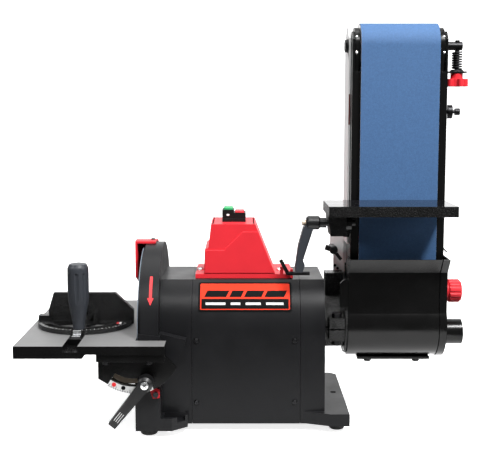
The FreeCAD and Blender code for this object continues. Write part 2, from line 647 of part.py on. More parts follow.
box = new_body("box")
pad(box, "XZ", "-box_front", "box_front - 1", switch_shell("0"))
pad(box, "XY", "shell_top", "box_flange", [
    ("-70.6", "-box_front - 1"), ("56.2", "-box_front - 1"), ("56.2", "box_front - 1"),
    ("-70.6", "box_front - 1")])
pocket(box, "XZ", "-box_front + 2.5", "box_front - 3.5", switch_shell("2.5"))
pocket(box, "XY", "shell_top - 1", "box_flange", [
    ("-56", "-box_front + 3"), ("30", "-box_front + 3"), ("30", "box_front - 4"),
    ("-56", "box_front - 4")])
BOX_SCREWS = [("-65.5", "-6"), ("40", "-6")]
clip = join(block("52.6", "56.2", "key_y + 2.8", "key_y + 5.3", "box_flange - 1", "key_z + 6"),
            block("52.6", "56.2", "key_y - 3.7", "key_y + 4", "key_z + 3.2", "key_z + 6"),
            block("52.6", "56.2", "key_y - 3.7", "key_y + 4", "key_z - 5.4", "key_z - 2.7"),
            block("39.5", "44", "key_y + 2.8", "key_y + 6", "box_flange - 1", "key_z + 8"))
publish("switch_box", cut(join(box, clip), block("-34.5", "-6.5", "-12.5", "12.5", "box_top - 4",
                                                 "box_top + 1"),
                          *[cylinder("Z", spot, 2.2, "shell_top - 1", "box_flange + 1")
                            for spot in BOX_SCREWS]))
box_screws = [button_screw("Z", spot, "box_flange", 1, 4, 2, 5) for spot in BOX_SCREWS]
publish("button_screws", group(*shroud_screws, guard_screw, pointer_screw, *box_screws))
KEY_LEAN = -28
key_corner = ("49.5", "key_y", "key_z")
key_end = doc.addObject("Part::Cylinder", "key_end")
key_end.Placement = FreeCAD.Placement(
    FreeCAD.Vector(), FreeCAD.Rotation(FreeCAD.Vector(0, 1, 0), KEY_LEAN))
bind(key_end, Radius=2.5, Height=20, Base_x=key_corner[0], Base_y="key_y", Base_z="key_z")
key_bend = doc.addObject("Part::Sphere", "key_bend")
bind(key_bend, Radius=2.5, Base_x=key_corner[0], Base_y="key_y", Base_z="key_z")
publish("hex_key", join(cylinder("X", ("key_y", "key_z"), 2.5, key_corner[0], "78"), key_end,
                        key_bend))
switch = join(block("-36", "-5", "-14", "14", "box_top", "box_top + 4"),
              block("-34.3", "-6.7", "-12.3", "12.3", "box_top - 20", "box_top + 9"),
              block("-36", "-20.5", "-12.3", "12.3", "box_top + 3", "box_top + 16"),
              block("-20.5", "-5", "-12.3", "12.3", "box_top + 3", "box_top + 12"))
publish("switch_body", cut(switch,
                           block("-34.5", "-21.5", "-11", "11", "box_top - 8", "box_top + 18"),
                           block("-19.5", "-6.5", "-11", "11", "box_top - 8", "box_top + 18")))
publish("on_button", block("-34.2", "-21.8", "-10.7", "10.7", "box_top - 2", "box_top + 19"))
publish("off_button", block("-19.2", "-6.8", "-10.7", "10.7", "box_top - 2", "box_top + 14.5"))


# ---------------------------------------------------------------- belt arm
def belt_loop(radius):
    """Outline of a loop round both rollers."""
    return [(radius, "axis_height"),
            (radius, "idler_height", Arc(0, "idler_height", radius)),
            (f"-({radius})", "idler_height"),
            (f"-({radius})", "axis_height", Arc(0, "axis_height", radius))]


belt = new_body("belt")
pad(belt, "YZ", "belt_left", "belt_right", belt_loop("wrap_radius"))
pocket(belt, "YZ", "belt_left", "belt_right", belt_loop("wrap_radius - belt_thick"))
publish("abrasive_belt", belt)
drum_radius = "wrap_radius - belt_thick - roller_gap"
publish("drive_drum", sleeve(drum_radius, "shaft_radius", "belt_left", "belt_right"))

clamp_ring = sleeve("clamp_radius", "spigot_radius + 0.08", "casting_right + 0.3", "clamp_right")
flange_ring = sleeve("cover_radius - 3", 14, "clamp_right - 3", "arm_left")
lugs = join(block("104", "124", "-50", "-30", "axis_height + 0.2", "axis_height + 14"),
            block("104", "124", "-50", "-30", "axis_height - 16", "axis_height - 1.8"))
lug_bore = cylinder("Z", ("114", "-43"), 3.4, "axis_height - 30", "axis_height + 30")
saw_cut = block("casting_right", "clamp_right - 4.4", "-60", "-20", "axis_height - 1.8",
                "axis_height + 0.2")
ear_back = block("104", "clamp_right", "20", "46", "axis_height + 24", "axis_height + 62")
inner_bore = on_shaft("spigot_radius + 0.08", "casting_right - 5", "clamp_right - 3")
publish("arm_clamp", cut(join(clamp_ring, flange_ring, lugs, ear_back), lug_bore, saw_cut,
                         inner_bore, on_shaft(14, "clamp_right - 5", "arm_left + 5")))
publish("arm_clamp_bolt", join(
    cylinder("Z", ("114", "-43"), 3.2, "axis_height - 22", "axis_height + 14"),
    hexagon("Z", ("114", "-43"), 6.6, "axis_height + 14", "axis_height + 20"),
    hexagon("Z", ("114", "-43"), 6.6, "axis_height - 22", "axis_height - 16")))
CHEEK_TOP = "idler_height - 34"
arm = new_body("arm")
pad(arm, "YZ", "arm_left", "arm_right", [
    ("-arm_front", "axis_height - 30"), ("arm_front", "axis_height - 30"),
    ("arm_front", "idler_height + 8"), ("arm_front - 10", "idler_height + 18"),
    ("-arm_front + 10", "idler_height + 18"), ("-arm_front", "idler_height + 8")])
pocket(arm, "YZ", "arm_left + arm_sheet", "arm_right - arm_sheet", [
    ("-arm_front + arm_sheet", "axis_height - 40"), ("arm_front + 1", "axis_height - 40"),
    ("arm_front + 1", "idler_height + 30"), ("-arm_front + arm_sheet", "idler_height + 30")])
roller_room = [block("arm_left + arm_sheet", "arm_right - arm_sheet", "-30", "0", low, high)
               for low, high in (("60", "axis_height + 42"), (CHEEK_TOP, "idler_height + 40"))]
axle_slot = join(*[block("arm_left - 5", "arm_right + 5", "-5.3", "5.3", "idler_height - 9",
                         "idler_height"),
                   cylinder("X", (0, "idler_height"), 5.3, "arm_left - 5", "arm_right + 5"),
                   cylinder("X", (0, "idler_height - 9"), 5.3, "arm_left - 5", "arm_right + 5")])
publish("belt_arm", cut(arm, *roller_room, axle_slot, on_shaft(14, "arm_left - 5", "arm_right + 5")))
publish("platen", join(
    block("belt_left + 3", "belt_right - 3", "-wrap_radius + belt_thick + 0.2", "-arm_front",
          "axis_height + 46", "idler_height - 38"),
    block("belt_left + 3", "belt_right - 3", "-arm_front - 1", "-arm_front",
          "axis_height + 44", "idler_height - 36")))
guard_left, guard_back_y = "arm_left - 3", "39"
side_panel = prism("side_panel", "YZ", guard_left, "arm_left - 0.4", [
    ("-8", "232"), (guard_back_y, "232"), (guard_back_y, "idler_height + 6"),
    (f"{guard_back_y} - 18", "idler_height + 25"), ("8", "idler_height + 25"),
    ("-8", "idler_height + 10")])
rear_panel = block(guard_left, "arm_right + 2.6", f"{guard_back_y} - 1.6", guard_back_y, "201",
                   "idler_height + 6")
right_return = block("arm_right + 1", "arm_right + 2.6", "20", guard_back_y, "232",
                     "idler_height - 60")
guard_slot = join(block("arm_left - 8", "arm_left", "-5.8", "5.8", "idler_height - 9",
                        "idler_height"),
                  cylinder("X", (0, "idler_height"), 5.8, "arm_left - 8", "arm_left"),
                  cylinder("X", (0, "idler_height - 9"), 5.8, "arm_left - 8", "arm_left"))
publish("belt_guard", cut(join(side_panel, rear_panel, right_return), guard_slot))
publish("arm_stop_plate", cut(
    prism("stop_plate", "XZ", "46.2", "49.2", [
        ("117.4", "172"), ("arm_left + 5", "172"), ("arm_left + 5", "244"), ("116", "244"),
        ("112.6", "239"), ("112.6", "214"), ("117.4", "210")]),
    cylinder("Y", ("handle_x", "handle_z"), 4.08, "40", "60")))
STOP_SCREWS = [("119.6", "194"), ("123.4", "189.8")]
stop_screws = [cylinder("Y", spot, 1.9, "45", "46.2") for spot in STOP_SCREWS]
handle = turning("handle", "Y", [("16", 0), ("16", 4.4), ("18", 5.8), ("30", 5.8), ("32", 4.8),
                                 ("45.8", 4.8), ("45.8", 4), ("56", 4), ("56", 0)],
                 "handle_x", 0, "handle_z")


def handle_bar(turn, half, length):
    """Flat bar that leaves the handle's hub at an angle in degrees."""
    along, across = f"cos({turn})", f"sin({turn})"
    return prism("handle_bar", "XZ", "19", "26", [
        (f"handle_x + {reach} * {along} - {side} * {across}",
         f"handle_z + {reach} * {across} + {side} * {along}")
        for reach, side in ((0, -half), (length, -half), (length, half), (0, half))])


publish("arm_lock_handle", join(handle, handle_bar("-52", 2.2, 17), handle_bar("162", 3.4, 11.5)))


def cover_outline(inset, back_top):
    """Section of the drum cover: leaning lip, flat front, half-round bottom and flat back."""
    side = f"(cover_front - {inset})"
    radius = f"(cover_radius - {inset})"
    rise = f"axis_height + sqrt({radius}^2 - {side}^2)"
    return [(f"-lip_front + {inset} * 1.3", "lip_high"), (f"-{side} - 1", "lip_low"),
            (f"-{side}", rise, Arc(0, "axis_height", radius)), (side, rise), (side, back_top)]


cover = new_body("cover")
pad(cover, "YZ", "cover_left", "cover_right", [*cover_outline("0", "lip_low"), ("0", "lip_high")])
pocket(cover, "YZ", "cover_left + 2", "cover_right",
       [*cover_outline("2", "lip_low + 60"), ("-lip_front + 2.6", "lip_low + 60")])
cover_tab = prism("cover_tab", "XZ", "-cover_front", "-cover_front + 2.5", [
    ("118", "152"), ("cover_left + 1", "152"), ("cover_left + 1", "190"), ("124", "190"),
    ("118", "184")])
side_opening = block("cover_left - 1", "cover_left + 3", "-arm_front - 1", "arm_front + 30",
                     "axis_height", "lip_high + 5")
publish("drum_cover", cut(join(cover, cover_tab), side_opening,
                          on_shaft("cover_radius - 2.6", "cover_left - 1", "cover_left + 3"),
                          block("cover_left", "cover_right + 1", "-10", "60", "lip_low",
                                "lip_high + 5")))
cap = new_body("cap")
pad(cap, "YZ", "cover_right + 0.4", "cap_right", [*cover_outline("-1.4", "lip_low"),
                                                  ("0", "lip_high")])
pocket(cap, "YZ", "cover_right", "cap_right - 2.2", [*cover_outline("1", "lip_low + 60"),
                                                     ("-lip_front + 1.3", "lip_low + 60")])
port_hole = cylinder("X", (0, "port_height"), "port_bore", "cover_right", "300")
knob_hole = cylinder("X", ("-10", "169"), 4.08, "cover_right", "300")
publish("end_cap", cut(cap, port_hole, knob_hole))
publish("dust_port", cut(cylinder("X", (0, "port_height"), "port_radius", "cap_right", "right_end"),
                         cylinder("X", (0, "port_height"), "port_bore", "250", "300")))
cap_knob = turning("cap_knob", "X", [("cap_right - 2.3", 0), ("cap_right - 2.3", 4), ("cap_right + 0.4", 4),
                                     ("cap_right + 0.4", 13), ("cap_right + 6", 13),
                                     ("cap_right + 8", "15.4"), ("cap_right + 21", "15.4"),
                                     ("cap_right + 23.6", 13), ("cap_right + 23.6", 0)],
                   0, "-10", "169")
knob_ribs = [cylinder("X", (f"-10 + 17.4 * cos({turn} * 30)", f"169 + 17.4 * sin({turn} * 30)"), 3,
                      "cap_right + 5", "cap_right + 25") for turn in range(12)]
publish("end_cap_knob", cut(cap_knob, *knob_ribs))
publish("clean_out_plate", cut(
    block("144.5", "241.8", "-17", "17", "axis_height - cover_radius - 3.8",
          "axis_height - cover_radius"),
    on_shaft("cover_radius", "140", "245")))
clean_out_screws = [
    hexagon("Z", (x, "-11"), 5, "axis_height - cover_radius - 7.3",
            "axis_height - cover_radius - 3.8")
    for x in ("159", "224")]


# ---------------------------------------------------------------- idler and belt tension
axle = join(cylinder("X", (0, "idler_height"), 5, "127", "arm_right + 2"),
            cylinder("X", (0, "idler_height"), 5.5, "arm_right + 1.6", "tension_x + 6.1"),
            cylinder("X", (0, "idler_height"), 9, "128", "129.2"),
            hexagon("X", (0, "idler_height"), 8, "124.8", "128"))
publish("idler_axle", cut(axle, cylinder("Z", ("tension_x", 0), 3, 400, 520)))
publish("tension_screw", cylinder("Z", ("tension_x", 0), 3, "440", "500"))


def idler_bracket(low, high):
    """Thick plate beside the idler, round at the top."""
    return prism("idler_bracket", "YZ", low, high, [
        ("-20", "idler_height - 34"), ("20", "idler_height - 34"), ("20", "idler_height - 26"),
        ("24", "idler_height - 12"), ("24", "idler_height", Arc(0, "idler_height", 24)),
        ("-24", "idler_height"), ("-24", "idler_height - 12"), ("-20", "idler_height - 26")],
        (0, "idler_height", 5))


bracket = idler_bracket("arm_left + arm_sheet + 0.4", "belt_left - 0.9")
bracket_right = idler_bracket("belt_right + 0.9", "arm_right - arm_sheet - 0.4")
publish("idler_brackets", group(bracket, bracket_right))
idler_middle = (0, "idler_height")
publish("idler_roller", cut(cylinder("X", idler_middle, drum_radius, "belt_left", "belt_right"),
                            cylinder("X", idler_middle, 5.06, "140", "250")))
tab = cut(join(block("arm_right", "284", "-9", "9", "tab_top - 2", "tab_top"),
               block("arm_right", "arm_right + 1.2", "-9", "9", "tab_top - 24", "tab_top")),
          cylinder("Z", ("tension_x", 0), 3.6, 440, 480))
helix = doc.addObject("Part::Helix", "coil")
bind(helix, Pitch="(spring_head - spring_foot - 2) / 7", Height="spring_head - spring_foot - 2",
     Radius=6, Base_x="tension_x", Base_z="spring_foot + 1")
wire = doc.addObject("Part::Circle", "wire")
wire.Placement = FreeCAD.Placement(FreeCAD.Vector(), FreeCAD.Rotation(FreeCAD.Vector(1, 0, 0), 90))
bind(wire, Radius=1, Base_x="tension_x + 6", Base_z="spring_foot + 1")
doc.recompute()
spring = doc.addObject("Part::Sweep", "spring")
spring.Sections = [wire]
spring.Spine = (helix, [f"Edge{n + 1}" for n in range(len(helix.Shape.Edges))])
spring.Solid = True
spring.Frenet = True
publish("tension_spring", spring)
seat = cut(cone("Z", ("tension_x", 0), 9.5, 7.5, "tab_top", "spring_foot"),
           cylinder("Z", ("tension_x", 0), 3.6, 440, 480))
publish("spring_tab", group(tab, seat))
star = join(cylinder("Z", ("tension_x", 0), 8, "tab_top - 9.5", "tab_top - 2.3"),
            cylinder("Z", ("tension_x", 0), 9.5, "tab_top - 19.5", "tab_top - 9.5"),
            *[cylinder("Z", (f"tension_x + 11 * cos({turn} * 72)", f"11 * sin({turn} * 72)"), 4.1,
                       "tab_top - 19.5", "tab_top - 9.5") for turn in range(5)])
publish("tension_knob", cut(star, cylinder("Z", ("tension_x", 0), 3.08, 400, 480)))
publish("tracking_screw", join(
    cylinder("X", (4, "407"), 3, "arm_right", "arm_right + 8"),
    common(cylinder("X", (4, "407"), 9, "arm_right + 6", "arm_right + 12"),
           block("arm_right", "arm_right + 20", "-6", "4", "390", "420")),
    cylinder("X", (4, "407"), 2.2, "arm_right + 6", "arm_right + 17"),
    cylinder("X", (4, "407"), 4.5, "arm_right + 16", "arm_right + 22.5")))


# ---------------------------------------------------------------- small table
rest = new_body("rest")
pad(rest, "XY", "rest_top - rest_thick", "rest_top", [
    ("rest_left", "rest_front"), ("rest_right", "rest_front"), ("rest_right", "rest_back"),
    ("rest_left", "rest_back")])
pad(rest, "XZ", "-98", "-58", [
    ("96.5", "rest_top - rest_thick"), ("100", "254"), ("119.2", "254"),
    ("119.2", "rest_top - rest_thick")])
pivot_spot = ("rest_pivot_y", "rest_pivot_z")
publish("belt_table", cut(rest, cylinder("X", pivot_spot, 4.08, "90", "125")))
carrier = prism("carrier", "YZ", "119.8", "127", [
    ("rest_pivot_y", "rest_pivot_z + 10", Arc("rest_pivot_y", "rest_pivot_z", 10)),
    ("rest_pivot_y", "rest_pivot_z - 10"), ("-60", "248"), ("-10", "248"), ("-10", "279")])
spacer = block("127", "arm_left", "-22", "-10", "249", "278")
publish("belt_table_bracket", cut(join(carrier, spacer), cylinder("X", pivot_spot, 4.08, "110",
                                                                 "130")))
bracket_bolts = [hexagon("X", ("-16", height), 5, "115.8", "119.8") for height in ("256", "271")]
publish("arm_hex_screws", group(*clean_out_screws, *bracket_bolts, *stop_screws))
rest_hub = turning("rest_hub", "X", [
    ("65.6", 0), ("65.6", 3), ("70.5", 3), ("70.5", 6.5), ("73", 8.6), ("86", 8.6), ("88", 6.2),
    ("95.6", 6.2), ("95.6", 4), ("132", 4), ("132", 0)], 0, "rest_pivot_y", "rest_pivot_z")
rest_arm = prism("rest_arm", "XZ", "rest_pivot_y - 6", "rest_pivot_y + 6", [
    ("66.5", "rest_pivot_z - 6"), ("60.5", "rest_pivot_z - 28"), ("56.8", "rest_pivot_z - 55"),
    ("57.2", "rest_pivot_z - 62"), ("66.5", "rest_pivot_z - 62"), ("69", "rest_pivot_z - 53"),
    ("66.8", "rest_pivot_z - 47"), ("72.6", "rest_pivot_z - 28"), ("80", "rest_pivot_z - 5"),
    ("80", "rest_pivot_z + 2"), ("73", "rest_pivot_z + 2")])
publish("belt_table_lever", join(rest_hub, rest_arm))


# ---------------------------------------------------------------- check and export
doc.recompute()
for item in doc.Objects:
    if "Invalid" in item.State or "Error" in item.State:
        raise RuntimeError(f"{item.Name} did not compute: {item.State}")
os.makedirs("parts", exist_ok=True)
for item in nodes:
    if item.Shape.isNull() or not item.Shape.isValid():
        raise RuntimeError(f"{item.Label} has no valid shape")
    item.Shape.exportStep(f"parts/{item.Label}.step")
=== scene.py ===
import json
import logging
import math
from dataclasses import dataclass, field
from enum import Enum
from typing import Callable, Iterable, Sequence

import bmesh
import bpy
from mathutils import Matrix, Vector


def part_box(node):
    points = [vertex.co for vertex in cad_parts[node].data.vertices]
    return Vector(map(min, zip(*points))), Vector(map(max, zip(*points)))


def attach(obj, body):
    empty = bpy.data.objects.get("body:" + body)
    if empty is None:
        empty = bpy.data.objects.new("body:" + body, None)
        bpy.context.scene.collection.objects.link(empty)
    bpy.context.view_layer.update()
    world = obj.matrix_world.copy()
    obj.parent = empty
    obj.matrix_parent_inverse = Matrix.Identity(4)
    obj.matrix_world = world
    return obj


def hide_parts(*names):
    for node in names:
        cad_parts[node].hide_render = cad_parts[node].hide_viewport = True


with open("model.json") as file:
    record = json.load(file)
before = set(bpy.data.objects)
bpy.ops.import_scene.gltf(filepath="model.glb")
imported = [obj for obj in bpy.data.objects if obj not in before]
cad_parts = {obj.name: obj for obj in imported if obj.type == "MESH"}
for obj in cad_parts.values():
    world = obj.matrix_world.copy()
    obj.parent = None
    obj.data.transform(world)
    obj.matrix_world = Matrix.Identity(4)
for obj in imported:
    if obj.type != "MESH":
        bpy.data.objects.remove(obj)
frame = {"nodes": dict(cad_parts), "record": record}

LOG = logging.getLogger("belt_grinder")
MM = 0.001
Point = tuple[float, float, float]
Corner = tuple[float, float]
NODE_BODY = {node: body for body, members in frame["record"]["behaviour"]["bodies"].items()
             for node in members}
NODE_SLOT = {part["node"]: part["material_slot"] for part in frame["record"]["subparts"]}


class Axis(Enum):
    """Coordinate axis; its value is its place in a point."""

    X = 0
    Y = 1
    Z = 2


# ------------------------------------------------------------------ shader maths
class Wire:
    """One socket of a shader graph; arithmetic on it adds Math nodes."""

    def __init__(self, graph: "Graph", socket: bpy.types.NodeSocket) -> None:
        """Wrap a socket of a graph."""
        self.graph = graph
        self.socket = socket

    def _math(self, operation: str, first: "Wire | float", second: "Wire | float") -> "Wire":
        """Math node on two values.

        Args:
            operation: name of the operation, such as ADD.
            first: left-hand value.
            second: right-hand value.

        Returns:
            The node's result.
        """
        return self.graph.add("ShaderNodeMath", {"operation": operation}, {0: first, 1: second})

    def __add__(self, other: "Wire | float") -> "Wire":
        """Sum."""
        return self._math("ADD", self, other)

    def __radd__(self, other: float) -> "Wire":
        """Reflected sum."""
        return self._math("ADD", other, self)

    def __sub__(self, other: "Wire | float") -> "Wire":
        """Difference."""
        return self._math("SUBTRACT", self, other)

    def __rsub__(self, other: float) -> "Wire":
        """Reflected difference."""
        return self._math("SUBTRACT", other, self)

    def __mul__(self, other: "Wire | float") -> "Wire":
        """Product."""
        return self._math("MULTIPLY", self, other)

    def __rmul__(self, other: float) -> "Wire":
        """Reflected product."""
        return self._math("MULTIPLY", other, self)


class Graph:
    """Node tree of one material, built by expressions."""

    def __init__(self, name: str) -> None:
        """Start an empty material with an output."""
        self.material = bpy.data.materials.new(name)
        self.material.use_nodes = True
        self.nodes = self.material.node_tree.nodes
        self.links = self.material.node_tree.links
        self.nodes.clear()
        self.output = self.nodes.new("ShaderNodeOutputMaterial")

    def add(self, kind: str, settings: dict[str, object] | None = None,
            inputs: dict[str | int, object] | None = None, out: str | int = 0) -> Wire:
        """Add a node.

        Args:
            kind: the node's type name.
            settings: attributes to set before the inputs; "stops" fills a colour ramp.
            inputs: values or wires for its sockets, by name or number.
            out: which output to return.

        Returns:
            The chosen output.
        """
        node = self.nodes.new(kind)
        for name, value in (settings or {}).items():
            if name == "stops":
                self._ramp(node, value)
            else:
                setattr(node, name, value)
        for key, value in (inputs or {}).items():
            if isinstance(value, Wire):
                self.links.new(value.socket, node.inputs[key])
            else:
                node.inputs[key].default_value = value
        return Wire(self, node.outputs[out])

    @staticmethod
    def _ramp(node: bpy.types.Node, stops: Sequence[tuple[float, float]]) -> None:
        """Fill a colour ramp with grey stops given as (place, level)."""
        elements = node.color_ramp.elements
        while len(elements) < len(stops):
            elements.new(0.5)
        for element, (place, level) in zip(elements, stops):
            element.position = place
            element.color = (level, level, level, 1)

    def place(self, stretch: Point = (1, 1, 1), turn: Point = (0, 0, 0)) -> Wire:
        """Object coordinates, stretched and turned."""
        spot = self.add("ShaderNodeTexCoord", out="Object")
        return self.add("ShaderNodeMapping", inputs={"Vector": spot, "Scale": stretch,
                                                     "Rotation": turn})

    def noise(self, size: float, detail: float = 2, stretch: Point = (1, 1, 1)) -> Wire:
        """Noise whose features are about the given size in metres."""
        return self.add("ShaderNodeTexNoise", inputs={
            "Vector": self.place(stretch), "Scale": 1 / size, "Detail": detail})

    def ramp(self, value: Wire, *stops: tuple[float, float]) -> Wire:
        """Value through a ramp of grey stops."""
        return self.add("ShaderNodeValToRGB", {"stops": stops}, {"Fac": value})

    def blend(self, share: Wire | float, first: object, second: object) -> Wire:
        """Colour between two colours."""
        return self.add("ShaderNodeMix", {"data_type": "RGBA"}, {0: share, 6: first, 7: second},
                        out=2)

    def bump(self, height: Wire, depth: float, strength: float = 1) -> Wire:
        """Normal bent by a height; depth is in metres."""
        return self.add("ShaderNodeBump", inputs={"Height": height, "Distance": depth,
                                                  "Strength": strength})

    def skin(self, **inputs: object) -> bpy.types.Material:
        """Finish with a principled shader.

        Args:
            inputs: socket names with blanks as underscores, and their values.

        Returns:
            The material.
        """
        named = {name.replace("_", " "): value for name, value in inputs.items()}
        shader = self.add("ShaderNodeBsdfPrincipled", inputs=named)
        self.links.new(shader.socket, self.output.inputs["Surface"])
        return self.material


def shade(colour: Point, level: float = 1) -> tuple[float, float, float, float]:
    """Colour at a brightness, with full alpha."""
    return (colour[0] * level, colour[1] * level, colour[2] * level, 1)


@dataclass(frozen=True)
class PowderCoat:
    """Baked paint with a fine orange peel and slightly worn patches of gloss."""

    colour: Point
    roughness: float = 0.45
    peel: float = 0.7 * MM
    depth: float = 0.02 * MM
    specular: float = 0.22

    def build(self, name: str) -> bpy.types.Material:
        """Make the material."""
        graph = Graph(name)
        peel = graph.noise(self.peel, 3)
        cloud = graph.ramp(graph.noise(35 * MM, 4), (0.35, 0), (0.7, 1))
        return graph.skin(
            Base_Color=graph.blend(cloud, shade(self.colour, 0.92), shade(self.colour, 1.08)),
            Roughness=self.roughness - 0.04 + 0.08 * cloud + 0.06 * peel,
            Specular_IOR_Level=self.specular,
            Normal=graph.bump(peel, self.depth))


@dataclass(frozen=True)
class SandCast:
    """Rough cast face under paint, with bright dots painted into the colour as glints where the grain
    stands out.
    """

    colour: Point
    roughness: float = 0.38
    depth: float = 0.35 * MM
    glint_colour: Point = (0.16, 0.16, 0.16)
    specular: float = 0.3

    def build(self, name: str) -> bpy.types.Material:
        """Make the material."""
        graph = Graph(name)
        coarse = graph.noise(1.6 * MM, 4)
        fine = graph.noise(0.5 * MM, 3)
        # pale dots painted into the base colour as glints of the cast grain; they also lower the
        # roughness
        painted_glints = graph.ramp(fine, (0.62, 0), (0.74, 1))
        height = graph.ramp(coarse, (0.4, 0), (0.66, 1)) + 0.35 * fine
        return graph.skin(
            Base_Color=graph.blend(painted_glints, shade(self.colour), shade(self.glint_colour)),
            Roughness=self.roughness - 0.14 * painted_glints, Specular_IOR_Level=self.specular,
            Normal=graph.bump(height, self.depth))


@dataclass(frozen=True)
class Moulded:
    """Injection-moulded plastic with a spark-eroded grain."""

    colour: Point
    roughness: float = 0.38
    grain: float = 0.6 * MM
    depth: float = 0.025 * MM
    specular: float = 0.35

    def build(self, name: str) -> bpy.types.Material:
        """Make the material."""
        graph = Graph(name)
        grain = graph.noise(self.grain, 2)
        flow = graph.noise(24 * MM, 3)
        return graph.skin(
            Base_Color=graph.blend(flow, shade(self.colour, 0.9), shade(self.colour, 1.06)),
            Roughness=self.roughness + 0.1 * grain, Specular_IOR_Level=self.specular,
            Normal=graph.bump(grain, self.depth))


@dataclass(frozen=True)
class BrushedMetal:
    """Bare or plated metal with fine lines along one axis."""

    colour: Point
    roughness: float = 0.3
    lines: Point = (0.02, 1, 1)
    metal: float = 1.0
    depth: float = 0.01 * MM

    def build(self, name: str) -> bpy.types.Material:
        """Make the material."""
        graph = Graph(name)
        scratch = graph.noise(0.25 * MM, 3, self.lines)
        stain = graph.ramp(graph.noise(18 * MM, 4), (0.35, 0), (0.75, 1))
        return graph.skin(
            Base_Color=graph.blend(scratch, shade(self.colour, 0.82), shade(self.colour, 1.1)),
            Metallic=self.metal, Roughness=self.roughness + 0.12 * scratch + 0.05 * stain,
            Normal=graph.bump(scratch, self.depth))


@dataclass(frozen=True)
class GrindingCloth:
    """Coated abrasive: coloured grit in a resin size coat."""

    colour: Point
    dark: Point
    grit: float = 0.55 * MM
    depth: float = 0.22 * MM

    def build(self, name: str) -> bpy.types.Material:
        """Make the material."""
        graph = Graph(name)
        cells = graph.add("ShaderNodeTexVoronoi", inputs={
            "Vector": graph.place(), "Scale": 1 / self.grit, "Randomness": 1.0})
        grit = graph.noise(self.grit * 1.4, 3)
        patch = graph.ramp(graph.noise(2.5 * MM, 5), (0.3, 0), (0.75, 1))
        mottled = graph.blend(patch * 0.3 + grit * 1.1 - 0.16, shade(self.dark), shade(self.colour))
        return graph.skin(
            Base_Color=mottled, Roughness=0.62 + 0.2 * grit,
            Normal=graph.bump(cells + 0.5 * grit, self.depth, 0.8))


@dataclass(frozen=True)
class Rubber:
    """Dull moulded rubber."""

    colour: Point

    def build(self, name: str) -> bpy.types.Material:
        """Make the material."""
        graph = Graph(name)
        dust = graph.ramp(graph.noise(6 * MM, 5), (0.5, 0), (0.8, 1))
        grain = graph.noise(0.4 * MM, 2)
        return graph.skin(
            Base_Color=graph.blend(dust, shade(self.colour), shade(self.colour, 1.8)),
            Roughness=0.75 + 0.1 * grain, Normal=graph.bump(grain, 0.04 * MM))


@dataclass(frozen=True)
class Print:
    """Satin printed film."""

    colour: Point
    roughness: float = 0.35
    specular: float = 0.25

    def build(self, name: str) -> bpy.types.Material:
        """Make the material."""
        graph = Graph(name)
        dots = graph.noise(0.3 * MM, 1)
        return graph.skin(
            Base_Color=graph.blend(dots, shade(self.colour, 0.94), shade(self.colour, 1.04)),
            Roughness=self.roughness + 0.05 * dots, Specular_IOR_Level=self.specular)


FINISHES = {
    "charcoal_casting": PowderCoat((0.0080, 0.0081, 0.0089), 0.33, specular=0.11),
    "black_casting": PowderCoat((0.0032, 0.0032, 0.0032), 0.2, specular=0.2),
    # black_speckled and speckled_edge carry painted glints: pale dots in the base colour of the cast
    # grain
    "black_speckled": SandCast((0.004, 0.004, 0.004), 0.26, specular=0.35),
    "light_grey_panel": PowderCoat((0.66, 0.66, 0.66), 0.4, specular=0.4),
    "red_plastic": Moulded((0.60, 0.022, 0.032), specular=0.2),
    "green_plastic": Moulded((0.02, 0.27, 0.09)),
    "black_plastic": Moulded((0.005, 0.005, 0.0055), 0.34, specular=0.28),
    "grey_grip": Moulded((0.027, 0.030, 0.036), 0.36, specular=0.3),
    "label_print": Print((0.60, 0.030, 0.010), 0.5, 0.08),
    "label_black": Print((0.002, 0.002, 0.002), 0.6, 0.06),
    "label_white": Print((0.72, 0.72, 0.72)),
    "arrow_red": Print((0.66, 0.030, 0.035), 0.45),
    "dark_red_print": Print((0.10, 0.015, 0.012), 0.5),
    "belt_edge": Print((0.55, 0.52, 0.48), 0.7),
    "scale_print": BrushedMetal((0.60, 0.60, 0.60), 0.35, metal=0.5),
    "rubber": Rubber((0.010, 0.010, 0.010)),
    "ground_table": BrushedMetal((0.19, 0.19, 0.19), 0.45, (0.04, 1, 1), metal=0.5),
    "gloss_black_table": PowderCoat((0.005, 0.005, 0.006), 0.08, specular=0.2),
    # edge of the belt table, with brighter painted glints
    "speckled_edge": SandCast((0.0025, 0.0025, 0.0025), 0.34, specular=0.1,
                              glint_colour=(0.3, 0.3, 0.3)),
    "zinc_steel": BrushedMetal((0.78, 0.79, 0.80), 0.2),
    # black_steel: blackened steel, and also painted shade on the disc plate's rim and in the crosses
    # of plated screw heads
    "black_steel": BrushedMetal((0.022, 0.022, 0.023), 0.32),
    "bright_steel": BrushedMetal((0.55, 0.55, 0.55), 0.25, (1, 0.05, 1)),
    "worn_bronze": BrushedMetal((0.46, 0.38, 0.29), 0.4, (0.1, 1, 1), metal=0.35),
    "electric_steel": BrushedMetal((0.25, 0.25, 0.27), 0.5, (6, 0.1, 0.1)),
    "copper": BrushedMetal((0.70, 0.28, 0.12), 0.35, (1, 0.1, 0.1)),
    "aluminium": BrushedMetal((0.62, 0.63, 0.64), 0.3, (1, 0.05, 0.05)),
    "blue_abrasive": GrindingCloth((0.041, 0.116, 0.262), (0.013, 0.050, 0.130)),
    "grey_abrasive": GrindingCloth((0.20, 0.24, 0.29), (0.08, 0.10, 0.13)),
}
MADE: dict[str, bpy.types.Material] = {}


def finish(name: str) -> bpy.types.Material:
    """The material of a finish, made once."""
    if name not in MADE:
        MADE[name] = FINISHES[name].build(name)
    return MADE[name]


